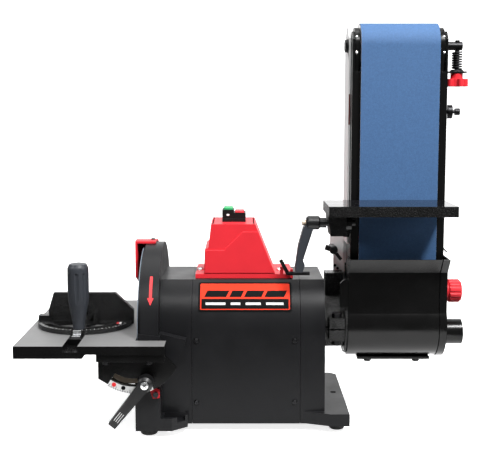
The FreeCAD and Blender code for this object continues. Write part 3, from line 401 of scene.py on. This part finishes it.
# ------------------------------------------------------------------ shaping
class Shape:
    """Mesh under construction."""

    def __init__(self) -> None:
        """Start empty."""
        self.mesh = bmesh.new()

    @classmethod
    def of_node(cls, node: str) -> "Shape":
        """Copy of a CAD node with its doubles merged and its flat faces made whole."""
        shape = cls()
        shape.mesh.from_mesh(frame["nodes"][node].data)
        bmesh.ops.remove_doubles(shape.mesh, verts=shape.mesh.verts, dist=0.002 * MM)
        bmesh.ops.dissolve_limit(shape.mesh, angle_limit=math.radians(0.4),
                                 verts=shape.mesh.verts, edges=shape.mesh.edges)
        return shape

    def block(self, low: Point, high: Point) -> "Shape":
        """Rectangular block between two corners."""
        size = [top - bottom for bottom, top in zip(low, high)]
        middle = [(top + bottom) / 2 for bottom, top in zip(low, high)]
        spot = Matrix.Translation(middle) @ Matrix.Diagonal((*size, 1))
        bmesh.ops.create_cube(self.mesh, size=1, matrix=spot)
        return self

    def slab(self, outline: Iterable[Corner], axis: Axis, low: float, high: float) -> "Shape":
        """Flat outline pulled along an axis.

        Args:
            outline: corners in the two other axes, in X, Y, Z order.
            axis: direction of the pull.
            low: start along the axis.
            high: end along the axis.

        Returns:
            This shape.
        """
        corners = []
        for across in outline:
            spot = list(across)
            spot.insert(axis.value, low)
            corners.append(self.mesh.verts.new(spot))
        face = self.mesh.faces.new(corners)
        pulled = bmesh.ops.extrude_face_region(self.mesh, geom=[face])
        move = Vector([high - low if step == axis.value else 0 for step in range(3)])
        verts = [part for part in pulled["geom"] if isinstance(part, bmesh.types.BMVert)]
        bmesh.ops.translate(self.mesh, verts=verts, vec=move)
        return self.outward()

    def lathe(self, profile: Sequence[Corner], axis: Axis, centre: Point,
              steps: int = 48) -> "Shape":
        """Turned shape.

        Args:
            profile: (along, radius) pairs from one end to the other.
            axis: axis of the lathe.
            centre: point on the axis; along is measured from it.
            steps: segments round the axis.

        Returns:
            This shape.
        """
        others = [step for step in range(3) if step != axis.value]
        chain = []
        for along, radius in profile:
            spot = [0.0, 0.0, 0.0]
            spot[axis.value] = along
            spot[others[0]] = radius
            chain.append(self.mesh.verts.new(Vector(spot) + Vector(centre)))
        edges = [self.mesh.edges.new(pair) for pair in zip(chain, chain[1:])]
        way = Vector([float(step == axis.value) for step in range(3)])
        bmesh.ops.spin(self.mesh, geom=[*chain, *edges], cent=centre, axis=way,
                       angle=math.tau, steps=steps, use_merge=True, use_duplicate=False)
        bmesh.ops.remove_doubles(self.mesh, verts=self.mesh.verts, dist=0.002 * MM)
        return self.outward()

    def outward(self) -> "Shape":
        """Point the faces outwards."""
        bmesh.ops.recalc_face_normals(self.mesh, faces=self.mesh.faces)
        return self

    def soften(self, width: float, segments: int = 2, crease: float = 28) -> "Shape":
        """Round every edge that is sharper than an angle in degrees."""
        limit = math.radians(crease)
        edges = [edge for edge in self.mesh.edges
                 if len(edge.link_faces) == 2 and edge.calc_face_angle(0) > limit]
        bmesh.ops.bevel(self.mesh, geom=edges, offset=width, affect="EDGES", segments=segments,
                        profile=0.5, material=-1, clamp_overlap=True)
        return self

    def bend(self, move: Callable[[Vector], Vector]) -> "Shape":
        """Move every point by a rule."""
        for vert in self.mesh.verts:
            vert.co = move(vert.co)
        return self

    def turn(self, angle: float, axis: Axis, centre: Point) -> "Shape":
        """Turn about a line along an axis; the angle is in degrees."""
        spin = Matrix.Rotation(math.radians(angle), 3, axis.name)
        bmesh.ops.rotate(self.mesh, verts=self.mesh.verts, cent=centre, matrix=spin)
        return self

    def join(self, other: "Shape") -> "Shape":
        """Take in another shape's mesh."""
        carrier = bpy.data.meshes.new("carrier")
        other.mesh.to_mesh(carrier)
        self.mesh.from_mesh(carrier)
        bpy.data.meshes.remove(carrier)
        return self

    def piece(self, name: str, finish_name: str, body: str, slot: str | None = None,
              replaces: Sequence[str] = (), second: tuple[str, Callable] | None = None,
              smooth: float = 40) -> bpy.types.Object:
        """Turn the shape into a finished piece.

        Args:
            name: the piece's name.
            finish_name: its finish.
            body: the body it rides on.
            slot: the record's material slot, if its finish stands for one; not used.
            replaces: CAD nodes that it stands for.
            second: another finish and the test of a face that takes it.
            smooth: angle in degrees above which an edge stays sharp.

        Returns:
            The new object.
        """
        mesh = bpy.data.meshes.new(name)
        mesh.materials.append(finish(finish_name))
        if second:
            mesh.materials.append(finish(second[0]))
            self.mesh.normal_update()
            for face in self.mesh.faces:
                face.material_index = int(second[1](face))
        self.mesh.to_mesh(mesh)
        self.mesh.free()
        mesh.shade_smooth()
        mesh.set_sharp_from_angle(angle=math.radians(smooth))
        item = bpy.data.objects.new(name, mesh)
        bpy.context.scene.collection.objects.link(item)
        weighted = item.modifiers.new("even_shading", "WEIGHTED_NORMAL")
        weighted.keep_sharp = True
        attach(item, body)
        if replaces:
            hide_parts(*replaces)
        LOG.info("%s: %d faces on %s", name, len(mesh.polygons), body)
        return item


def dress(node: str, finish_name: str | None = None) -> None:
    """Give a CAD node that stays its procedural finish."""
    item = frame["nodes"][node]
    item.data.materials.clear()
    item.data.materials.append(finish(finish_name or NODE_SLOT[node]))
    LOG.info("%s keeps its own mesh", node)


def soft_copy(node: str, width: float, finish_name: str | None = None, segments: int = 2,
              second: tuple[str, Callable] | None = None) -> bpy.types.Object:
    """Stand-in for a CAD node with rounded edges.

    Args:
        node: the CAD node.
        width: width of the rounding, in metres.
        finish_name: its finish, if it isn't the one of its slot.
        segments: steps across the rounding.
        second: another finish and the test of a face that takes it.

    Returns:
        The new piece.
    """
    shape = Shape.of_node(node).soften(width, segments)
    return shape.piece(f"{node}_shell", finish_name or NODE_SLOT[node], NODE_BODY[node],
                       NODE_SLOT[node], [node], second)


@dataclass(frozen=True)
class Barrel:
    """Cylinder about the shaft that printed parts are wrapped on, at the operator's side."""

    radius: float
    height: float

    def wrap(self, shape: "Shape", low: float, high: float, steps: int = 8) -> "Shape":
        """Wrap a flat shape, drawn in X and arc length with its thickness along -Y.

        Args:
            shape: the flat shape.
            low: lowest arc length above the level of the shaft.
            high: highest arc length.
            steps: bands that the bend is split into.

        Returns:
            The bent shape.
        """
        for step in range(1, steps):
            level = low + (high - low) * step / steps
            bmesh.ops.bisect_plane(
                shape.mesh, geom=[*shape.mesh.verts, *shape.mesh.edges, *shape.mesh.faces],
                plane_co=(0, 0, level), plane_no=(0, 0, 1))

        def roll(spot: Vector) -> Vector:
            """Place of one flat point on the barrel."""
            angle, reach = spot.z / self.radius, self.radius - spot.y
            return Vector((spot.x, -reach * math.cos(angle), self.height + reach * math.sin(angle)))

        return shape.bend(roll)


def rounded(left: float, right: float, low: float, high: float, radius: float,
            steps: int = 5) -> list[Corner]:
    """Outline of a rectangle with round corners."""
    corners = []
    for quarter, (across, up) in enumerate(((right, high), (left, high), (left, low), (right, low))):
        middle = (across - radius * (1 if across == right else -1),
                  up - radius * (1 if up == high else -1))
        for step in range(steps + 1):
            angle = math.pi / 2 * (quarter + step / steps)
            corners.append((middle[0] + radius * math.cos(angle),
                            middle[1] + radius * math.sin(angle)))
    return corners


def ring_point(centre: Corner, radius: float, angle: float) -> Corner:
    """Point at a radius and an angle in degrees about a centre."""
    return (centre[0] + radius * math.cos(math.radians(angle)),
            centre[1] + radius * math.sin(math.radians(angle)))


def tick(centre: Corner, inner: float, outer: float, angle: float, width: float) -> list[Corner]:
    """Outline of one radial mark of a dial."""
    along = ring_point((0, 0), 1, angle)
    across = (-along[1] * width / 2, along[0] * width / 2)
    return [(centre[0] + along[0] * reach + across[0] * side,
             centre[1] + along[1] * reach + across[1] * side)
            for reach, side in ((inner, -1), (outer, -1), (outer, 1), (inner, 1))]


def cross(centre: Corner, size: float, width: float, turn: float = 0) -> list[Corner]:
    """Outline of a cross recess."""
    corners = []
    for quarter in range(4):
        for reach, side in ((size, -width), (size, width), (width, width)):
            angle = math.radians(90 * quarter + turn)
            corners.append((centre[0] + reach * math.cos(angle) - side * math.sin(angle),
                            centre[1] + reach * math.sin(angle) + side * math.cos(angle)))
    return corners


# ------------------------------------------------------------------ sub-assemblies
@dataclass
class SoftenedParts:
    """CAD parts whose shape is right and that only need rounded edges."""

    widths: dict[str, float] = field(default_factory=lambda: {
        "left_end_casting": 1.0 * MM, "right_end_casting": 1.0 * MM, "motor_shroud": 0.4 * MM,
        "rubber_feet": 0.8 * MM, "switch_body": 0.6 * MM, "disc_guard": 0.7 * MM,
        "front_trunnion": 0.7 * MM, "rear_trunnion": 0.7 * MM, "angle_pointer": 0.4 * MM,
        "mitre_bar": 0.3 * MM, "mitre_pointer": 0.3 * MM, "mitre_head": 0.8 * MM,
        "on_button": 1.6 * MM, "off_button": 1.6 * MM, "arm_clamp": 0.8 * MM,
        "arm_clamp_bolt": 0.4 * MM, "belt_arm": 0.5 * MM, "belt_guard": 0.35 * MM,
        "arm_stop_plate": 0.4 * MM, "drum_cover": 0.5 * MM, "end_cap": 0.6 * MM,
        "dust_port": 0.6 * MM, "clean_out_plate": 0.3 * MM, "arm_hex_screws": 0.3 * MM,
        "spring_tab": 0.3 * MM, "belt_table_bracket": 0.6 * MM, "idler_axle": 0.4 * MM,
        "idler_brackets": 0.8 * MM, "trunnion_screws": 0.3 * MM, "end_cap_knob": 0.7 * MM,
        "tension_knob": 0.8 * MM, "tracking_screw": 0.4 * MM, "switch_box": 1.2 * MM,
        "arm_lock_handle": 0.5 * MM, "front_lock_lever": 0.9 * MM, "rear_lock_lever": 0.9 * MM,
        "mitre_grip": 0.8 * MM, "button_screws": 0.3 * MM,
        "hex_key": 0.2 * MM, "cord_gland": 0.4 * MM,
    })

    def build(self) -> None:
        """Make a rounded stand-in for each part."""
        for node, width in self.widths.items():
            soft_copy(node, width)


@dataclass
class KeptParts:
    """CAD parts that stay as they are with a better finish."""

    nodes: tuple[str, ...] = (
        "stator_core", "windings", "shaft_bearings", "run_capacitor", "rotor", "motor_shaft",
        "cooling_fan", "abrasive_disc", "drive_drum", "angle_scale", "platen", "tension_spring",
        "tension_screw", "idler_roller")

    def build(self) -> None:
        """Dress each node."""
        for node in self.nodes:
            dress(node)


@dataclass
class Tables:
    """The ground disc table and the glossy belt table."""

    edge: float = 0.6 * MM

    def build(self) -> None:
        """Make both tables with their working faces."""
        for node, edges, top_finish in (("disc_table", "black_casting", "ground_table"),
                                        ("belt_table", "speckled_edge", "gloss_black_table")):
            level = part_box(node)[1].z - 1 * MM
            soft_copy(node, self.edge, edges, second=(
                top_finish, lambda face, level=level: (
                    face.normal.z > 0.9 and face.calc_center_median().z > level)))


@dataclass
class Label:
    """Printed plate on the front of the housing, with a plain pattern of bars."""

    border: float = 2.4 * MM
    film: float = 0.12 * MM
    strip: float = 13 * MM
    bars: tuple[Corner, ...] = ((5, 33), (37, 52), (56, 78), (82, 107))
    slant: float = 4 * MM

    def build(self) -> None:
        """Make the plate, its coloured field, its dark strip and its bars."""
        low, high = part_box("label_plate")
        axis = sum(corner.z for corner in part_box("motor_shaft")) / 2
        outside = math.hypot(low.y, low.z - axis)
        radius = outside - 0.6 * MM
        self.barrel = Barrel(radius, axis)
        bottom, top = (radius * math.asin((level - axis) / outside) for level in (low.z, high.z))
        edge = self.border
        self._film("label_plate_body", "label_black", 0.6 * MM, (low.x, high.x, bottom, top), 2.5)
        self._film("label_field", "label_print", 0.6 * MM + self.film,
                   (low.x + edge, high.x - edge, bottom + edge, top - edge), 1.6, "label_print",
                   ["label_plate"])
        shelf = bottom + edge + 1.2 * MM
        self._film("label_strip", "label_black", 0.6 * MM + 2 * self.film,
                   (low.x + edge + 1.5 * MM, high.x - edge - 1.5 * MM, shelf, shelf + self.strip), 0.8)
        base = shelf + self.strip + 2.5 * MM
        dark, pale = Shape(), Shape()
        for start, end in self.bars:
            left, right = low.x + edge + start * MM, low.x + edge + end * MM
            dark.slab([(left, base), (right, base), (right + self.slant, base + 9 * MM),
                       (left + self.slant, base + 9 * MM)], Axis.Y, 0, -0.6 * MM - 2 * self.film)
            pale.slab([(left + 2 * MM, shelf + 5 * MM), (right - 1 * MM, shelf + 5 * MM),
                       (right - 1 * MM, shelf + 8 * MM), (left + 2 * MM, shelf + 8 * MM)],
                      Axis.Y, 0, -0.6 * MM - 3 * self.film)
        self.barrel.wrap(dark, base, base + 9 * MM).piece("label_bars", "label_black", "base")
        self.barrel.wrap(pale, shelf, base, 4).piece("label_dashes", "label_white", "base")

    def _film(self, name: str, finish_name: str, depth: float, field_box: tuple[float, ...],
              corner: float, slot: str | None = None, replaces: Sequence[str] = ()) -> None:
        """One round-cornered layer of the plate."""
        left, right, bottom, top = field_box
        shape = Shape().slab(rounded(left, right, bottom, top, corner * MM), Axis.Y, 0, -depth)
        self.barrel.wrap(shape, bottom, top, 10).piece(name, finish_name, "base", slot, replaces)


@dataclass
class DiscEnd:
    """Details round the disc: direction arrow, slot shoe, scale marks and lever trim."""

    arrow: tuple[float, float] = (42.6 * MM, 82.3 * MM)
    arrow_x: float = -124.5 * MM
    shaft_half: float = 1.8 * MM
    head_half: float = 4.1 * MM
    head_length: float = 9.5 * MM
    ring_radius: float = 107.6 * MM
    pivot: Corner = (-143 * MM, 122 * MM)
    clamp: Corner = (-127.5 * MM, 79.5 * MM)
    lever_face: float = 149.9 * MM
    lever_lean: float = 128.5
    shoe_face: float = 111.4 * MM
    shoe: tuple[Corner, ...] = ((-170, 79), (-159.5, 72), (-140, 72), (-140, 91), (-160, 91),
                                (-166.5, 85.5), (-170, 81))

    def build(self) -> None:
        """Add every detail."""
        # the rim of the aluminium disc plate takes dark black_steel: painted shade for the rim, which
        # lies in shadow
        soft_copy("disc_plate", 0.4 * MM, second=(
            "black_steel", lambda face: abs(face.normal.x) < 0.5))
        self._direction_arrow()
        self._slot_shoe()
        self._scale_marks()
        self._lever_trim()

    def _direction_arrow(self) -> None:
        """Arrow on the outside of the disc's ring."""
        axis = sum(corner.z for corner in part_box("motor_shaft")) / 2
        low, high = self.arrow
        middle, shaft, head = self.arrow_x, self.shaft_half, self.head_half
        neck = low + self.head_length
        outline = [(middle, low), (middle + head, neck), (middle + shaft, neck),
                   (middle + shaft, high), (middle - shaft, high), (middle - shaft, neck),
                   (middle - head, neck)]
        shape = Shape().slab(outline, Axis.Y, 0.05 * MM, -0.15 * MM)
        arrow = Barrel(self.ring_radius, axis).wrap(shape, low, high, 12)
        arrow.piece("direction_arrow", "arrow_red", "base")

    def _slot_shoe(self) -> None:
        """Bright face behind the clamp slot of each quadrant."""
        outline = [(across * MM, up * MM) for across, up in self.shoe]
        for side, sign in (("front", -1), ("rear", 1)):
            shape = Shape().slab(outline, Axis.Y, sign * self.shoe_face,
                                 sign * (self.shoe_face + 0.5 * MM))
            shape.soften(0.15 * MM).piece(f"slot_shoe_{side}", "worn_bronze", "base")

    def _scale_marks(self) -> None:
        """Degree marks and two dots on the quadrant's scale."""
        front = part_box("angle_scale")[0].y
        marks = Shape()
        for step in range(19):
            long_mark = step % 3 == 0
            marks.slab(tick(self.pivot, (55 if long_mark else 57) * MM, 59.2 * MM, -122 + 3 * step,
                            0.55 * MM), Axis.Y, front, front - 0.1 * MM)
        marks.piece("scale_marks", "label_black", "disc_table")
        for name, finish_name, angle in (("scale_dot_red", "arrow_red", -117),
                                         ("scale_dot_dark", "label_black", -104)):
            spot = ring_point(self.pivot, 54 * MM, angle)
            dot = Shape().lathe([(0, 0), (0, 2.7 * MM), (-0.4 * MM, 2.5 * MM), (-0.4 * MM, 0)],
                                Axis.Y, (spot[0], front, spot[1]), 24)
            dot.piece(name, finish_name, "disc_table")

    def _lever_trim(self) -> None:
        """Plated screw with a dark cross of painted recess shade, and pale stripes on the lock levers.
        """
        for side in ("front", "rear"):
            sign = -1 if side == "front" else 1
            x, z = self.clamp
            face = self.lever_face * sign
            out = sign * MM
            screw = Shape().lathe([(0, 0), (0, 4.8 * MM), (1.5 * out, 4.6 * MM),
                                   (2.1 * out, 3.6 * MM), (2.15 * out, 0)],
                                  Axis.Y, (x, face, z), 32)
            screw.piece(f"{side}_lever_screw", "zinc_steel", f"{side}_lock_lever")
            # dark cross laid slightly proud on the plated head: painted shade standing for the cross
            # recess
            recess = Shape().slab(cross(self.clamp, 2.6 * MM, 0.5 * MM, 45), Axis.Y,
                                  face + 1.9 * out, face + 2.2 * out)
            recess.piece(f"{side}_lever_recess", "black_steel", f"{side}_lock_lever")
            stripes = Shape()
            for offset in (-2.6, 0, 2.6):
                stripe = Shape().slab(rounded(44 * MM, 57 * MM, (offset - 0.35) * MM,
                                              (offset + 0.35) * MM, 0.3 * MM, 2),
                                      Axis.Y, face, face + 0.3 * out)
                stripes.join(stripe)
            stripes.turn(self.lever_lean, Axis.Y, (0, 0, 0))
            stripes.bend(lambda spot, x=x, z=z: spot + Vector((x, 0, z)))
            stripes.piece(f"{side}_lever_stripes", "label_white", f"{side}_lock_lever")


@dataclass
class MitreMarks:
    """Marks of the mitre gauge's dial."""

    centre: Corner = (-218.4 * MM, -20 * MM)
    radius: float = 61 * MM
    plate: float = 5.4 * MM
    patch: float = 44 * MM

    def build(self) -> None:
        """Make the pale marks and the small two-colour patch."""
        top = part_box("mitre_head")[0].z + self.plate
        marks = Shape()
        for step in range(29):
            inner = self.radius - (4 if step % 2 == 0 else 2.4) * MM
            marks.slab(tick(self.centre, inner, self.radius - 0.6 * MM, -160 + 5 * step, 0.5 * MM),
                       Axis.Z, top, top + 0.12 * MM)
        marks.piece("mitre_marks", "label_white", "mitre_head")
        for name, finish_name, first in (("mitre_patch_red", "arrow_red", 0),
                                         ("mitre_patch_white", "label_white", 3.4 * MM)):
            left = self.centre[0] + self.patch + first
            Shape().slab(rounded(left, left + 2.8 * MM, -44 * MM, -35 * MM, 0.5 * MM, 3), Axis.Z,
                         top, top + 0.15 * MM).piece(name, finish_name, "mitre_head")


@dataclass
class SwitchTrim:
    """Raised panel of the switch box, its rim, its plated screws and a white patch painted on the
    switch as a glint.
    """

    front: float = -41 * MM
    rise: float = 1.4 * MM
    panel: tuple[Corner, ...] = ((-58.8, 198), (-58.0, 228.6), (-33.5, 228.6), (-9.2, 252.8),
                                 (10.6, 252.8), (32.9, 198))
    rim: tuple[tuple[Corner, Corner], ...] = (
        ((-49, -40.4), (6.6, -38.2)), ((-49, 37.2), (6.6, 39.4)), ((-49, -38.4), (-46.8, 37.4)),
        ((4.4, -38.4), (6.6, 37.4)))
    flange: Point = (0, -6 * MM, 197 * MM)

    def build(self) -> None:
        """Add the details."""
        corners = [(across * MM, up * MM) for across, up in self.panel]
        Shape().slab(corners, Axis.Y, self.front + 0.3 * MM, self.front - self.rise).soften(
            1.0 * MM, 3).piece("switch_box_panel", "red_plastic", "base")
        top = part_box("switch_box")[1].z
        rim = Shape()
        for low, high in self.rim:
            rim.join(Shape().block((low[0] * MM, low[1] * MM, top - 0.6 * MM),
                                   (high[0] * MM, high[1] * MM, top)).soften(0.3 * MM))
        rim.piece("switch_box_rim", "red_plastic", "base")
        for name, x in (("left_flange_screw", -65.5), ("right_flange_screw", 40.0)):
            self._flange_screw(name, x * MM)
        # white patch on the front of the switch: a painted glint
        Shape().slab(rounded(-30.5 * MM, -26.5 * MM, 270 * MM, 272.6 * MM, 1.2 * MM, 4), Axis.Y,
                     -12.2 * MM, -12.5 * MM).piece("switch_mark", "label_white", "base")

    def _flange_screw(self, name: str, x: float) -> None:
        """Plated pan-head screw on the flange, with a dark cross of painted shade for its recess."""
        _, y, level = self.flange
        head = Shape().lathe([(0, 0), (0, 4.6 * MM), (0.8 * MM, 4.5 * MM), (2.1 * MM, 3.4 * MM),
                              (2.6 * MM, 1.5 * MM), (2.65 * MM, 0)], Axis.Z, (x, y, level), 32)
        head.piece(name, "zinc_steel", "base")
        # dark cross laid on the plated head: painted shade standing for the cross recess
        Shape().slab(cross((x, y), 2.4 * MM, 0.45 * MM, 30), Axis.Z, level + 2.45 * MM,
                     level + 2.75 * MM).piece(f"{name}_recess", "black_steel", "base")


@dataclass
class HousingScrews:
    """Cross recesses of the screws in the motor shroud."""

    spots: tuple[Corner, ...] = ((-68, 118.5), (-68, 38.3), (57.2, 118.5), (57.2, 38.3))
    head: float = 85.3 * MM

    def build(self) -> None:
        """Make a recess on each head, front and back."""
        for index, (x, z) in enumerate(self.spots):
            for side, sign in (("front", -1), ("rear", 1)):
                face = sign * self.head
                recess = Shape().slab(cross((x * MM, z * MM), 2.1 * MM, 0.4 * MM, 20 * index),
                                      Axis.Y, face, face + sign * 0.12 * MM)
                recess.piece(f"shroud_recess_{side}_{index}", "charcoal_casting", "base")


@dataclass
class BeltEnd:
    """Belt with pale edges, bracket screws, scraper tab, guard strip and table lever."""

    bracket_screws: tuple[Corner, ...] = ((-21.6, 503), (-24, 483))
    tab: tuple[Corner, ...] = ((-0.4, 228.6), (1.6, 228.6), (9, 220.6), (8.2, 219.6),
                               (1.2, 227), (-0.4, 227))
    strip: Corner = (390 * MM, 430 * MM)
    hub_low: float = 259.5 * MM
    hub_left: float = 60 * MM
    hub_centre: Corner = (-80 * MM, 269 * MM)

    def build(self) -> None:
        """Add the details of the belt arm."""
        soft_copy("abrasive_belt", 0.15 * MM, second=(
            "belt_edge", lambda face: abs(face.normal.x) > 0.8))
        self._bracket_screws()
        self._arm_details()
        self._table_lever()

    def _bracket_screws(self) -> None:
        """Plated screws on the edges of the idler brackets."""
        low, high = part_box("idler_brackets")
        spots = [(x, y * MM, z * MM) for x in (low.x + 2 * MM, high.x - 2 * MM)
                 for y, z in self.bracket_screws]
        for index, spot in enumerate(spots):
            head = Shape().lathe([(0.6 * MM, 0), (0.6 * MM, 1.7 * MM), (-0.3 * MM, 1.7 * MM),
                                  (-0.8 * MM, 1.1 * MM), (-0.85 * MM, 0)], Axis.Y, spot, 20)
            head.piece(f"bracket_screw_{index}", "zinc_steel", "idler_slide")

    def _arm_details(self) -> None:
        """Scraper tab beside the belt and printed strip on the guard's edge."""
        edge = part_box("belt_arm")[1].x
        outline = [(edge + across * MM, up * MM) for across, up in self.tab]
        Shape().slab(outline, Axis.Y, -6 * MM, 6 * MM).soften(0.2 * MM).piece(
            "scraper_tab", "black_steel", "belt_arm")
        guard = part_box("belt_guard")[0]
        low, high = self.strip
        Shape().block((guard.x + 0.4 * MM, guard.y - 0.3 * MM, low),
                      (guard.x + 2.2 * MM, guard.y + 0.4 * MM, high)).soften(0.1 * MM).piece(
                          "guard_strip", "dark_red_print", "belt_arm")

    def _table_lever(self) -> None:
        """Lever of the belt table with its black hub and brass screw."""
        soft_copy("belt_table_lever", 0.9 * MM, second=("black_plastic", lambda face: (
            face.calc_center_median().z > self.hub_low)))
        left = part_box("belt_table_lever")[0].x
        start = left if left > self.hub_left else 65.4 * MM
        Shape().lathe([(0, 0), (0, 3.2 * MM), (1.2 * MM, 3.4 * MM), (4.9 * MM, 3.4 * MM),
                       (4.9 * MM, 0)], Axis.X, (start, *self.hub_centre),
                      24).piece("table_lever_screw", "worn_bronze", "belt_table_lever")


@dataclass(frozen=True)
class Lamp:
    """Soft rectangular lamp."""

    name: str
    spot: Point
    width: float
    height: float
    power: float


@dataclass
class Studio:
    """Floor, backdrop, light and camera."""

    lamps: tuple[Lamp, ...] = (
        Lamp("key_light", (0.99, -1.2, 2.2), 0.35, 0.35, 88),
        Lamp("top_light", (-0.2, 0.1, 2.0), 1.2, 1.2, 22),
        Lamp("left_light", (-1.7, -0.9, 1.2), 0.5, 0.5, 14),
        Lamp("right_light", (1.8, -0.5, 1.0), 0.5, 0.5, 9),
        Lamp("front_light", (0.2, -1.5, 2.0), 1.5, 0.4, 40),
    )
    aim: Point = (0, 0, 0.2)

    eye: Point = (-10.6 * MM, -1270.3 * MM, 413 * MM)
    pitch: float = 6.457
    lens: float = 71.66
    shift: Corner = (-0.0031, -0.0306)
    paper_glow: float = 0.8
    wall: float = 2.8
    surround: float = 0.2

    def build(self) -> None:
        """Make the floor, the backdrop, the lamps and the camera."""
        self._sheet("studio_floor", 0.34, Matrix(), True)
        self._sheet("studio_ground", self.wall + 0.1, Matrix.Translation((0, 0, -0.5 * MM)), False)
        upright = Matrix.Translation((0, self.wall, 3.9)) @ Matrix.Rotation(math.pi / 2, 4, "X")
        for side in range(4):
            self._sheet(f"studio_backdrop_{side}", 4,
                        Matrix.Rotation(side * math.pi / 2, 4, "Z") @ upright, side == 0)
        self._lamps()
        self._camera()
        bpy.context.scene.view_settings.view_transform = "Standard"

    def _sheet(self, name: str, half: float, spot: Matrix, mirrored: bool) -> None:
        """Flat sheet of white studio paper.

        Args:
            name: name of the sheet.
            half: half its width.
            spot: place of its middle.
            mirrored: whether glossy faces show it.
        """
        mesh = bmesh.new()
        bmesh.ops.create_grid(mesh, x_segments=4, y_segments=4, size=half, matrix=spot)
        data = bpy.data.meshes.new(name)
        mesh.to_mesh(data)
        mesh.free()
        graph = Graph(name)
        cloud = graph.noise(0.4, 2)
        data.materials.append(graph.skin(
            Base_Color=graph.blend(cloud, (0.93, 0.93, 0.93, 1), (0.95, 0.95, 0.95, 1)),
            Roughness=0.9, Emission_Color=(1, 1, 1, 1), Emission_Strength=self.paper_glow))
        sheet = bpy.data.objects.new(name, data)
        sheet.visible_glossy = mirrored
        sheet.visible_diffuse = False
        bpy.context.scene.collection.objects.link(sheet)

    def _lamp(self, plan: Lamp) -> None:
        """Place one lamp so that it looks at the machine."""
        data = bpy.data.lights.new(plan.name, "AREA")
        data.shape = "RECTANGLE"
        data.size, data.size_y, data.energy = plan.width, plan.height, plan.power
        lamp = bpy.data.objects.new(plan.name, data)
        lamp.location = plan.spot
        way = Vector(self.aim) - Vector(plan.spot)
        lamp.rotation_euler = way.to_track_quat("-Z", "Y").to_euler()
        bpy.context.scene.collection.objects.link(lamp)

    def _lamps(self) -> None:
        """Soft lamps round the machine and a grey surround."""
        for plan in self.lamps:
            self._lamp(plan)
        world = bpy.data.worlds.new("surround")
        world.use_nodes = True
        background = world.node_tree.nodes["Background"]
        background.inputs["Color"].default_value = (1, 1, 1, 1)
        background.inputs["Strength"].default_value = self.surround
        bpy.context.scene.world = world

    def _camera(self) -> None:
        """Camera in front of the machine, a little above it."""
        data = bpy.data.cameras.new("camera")
        data.lens, data.sensor_width = self.lens, 36
        data.shift_x, data.shift_y = self.shift
        data.clip_end = 50
        camera = bpy.data.objects.new("camera", data)
        camera.location = self.eye
        camera.rotation_euler = (math.radians(90 - self.pitch), 0, 0)
        bpy.context.scene.collection.objects.link(camera)
        bpy.context.scene.camera = camera


def main() -> None:
    """Build the looks of the grinder round its frame."""
    logging.basicConfig(level=logging.INFO, format="%(name)s: %(message)s")
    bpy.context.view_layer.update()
    for assembly in (KeptParts(), SoftenedParts(), Tables(), Label(), DiscEnd(), MitreMarks(),
                     SwitchTrim(), HousingScrews(), BeltEnd(), Studio()):
        assembly.build()


if __name__ == "__main__":
    main()
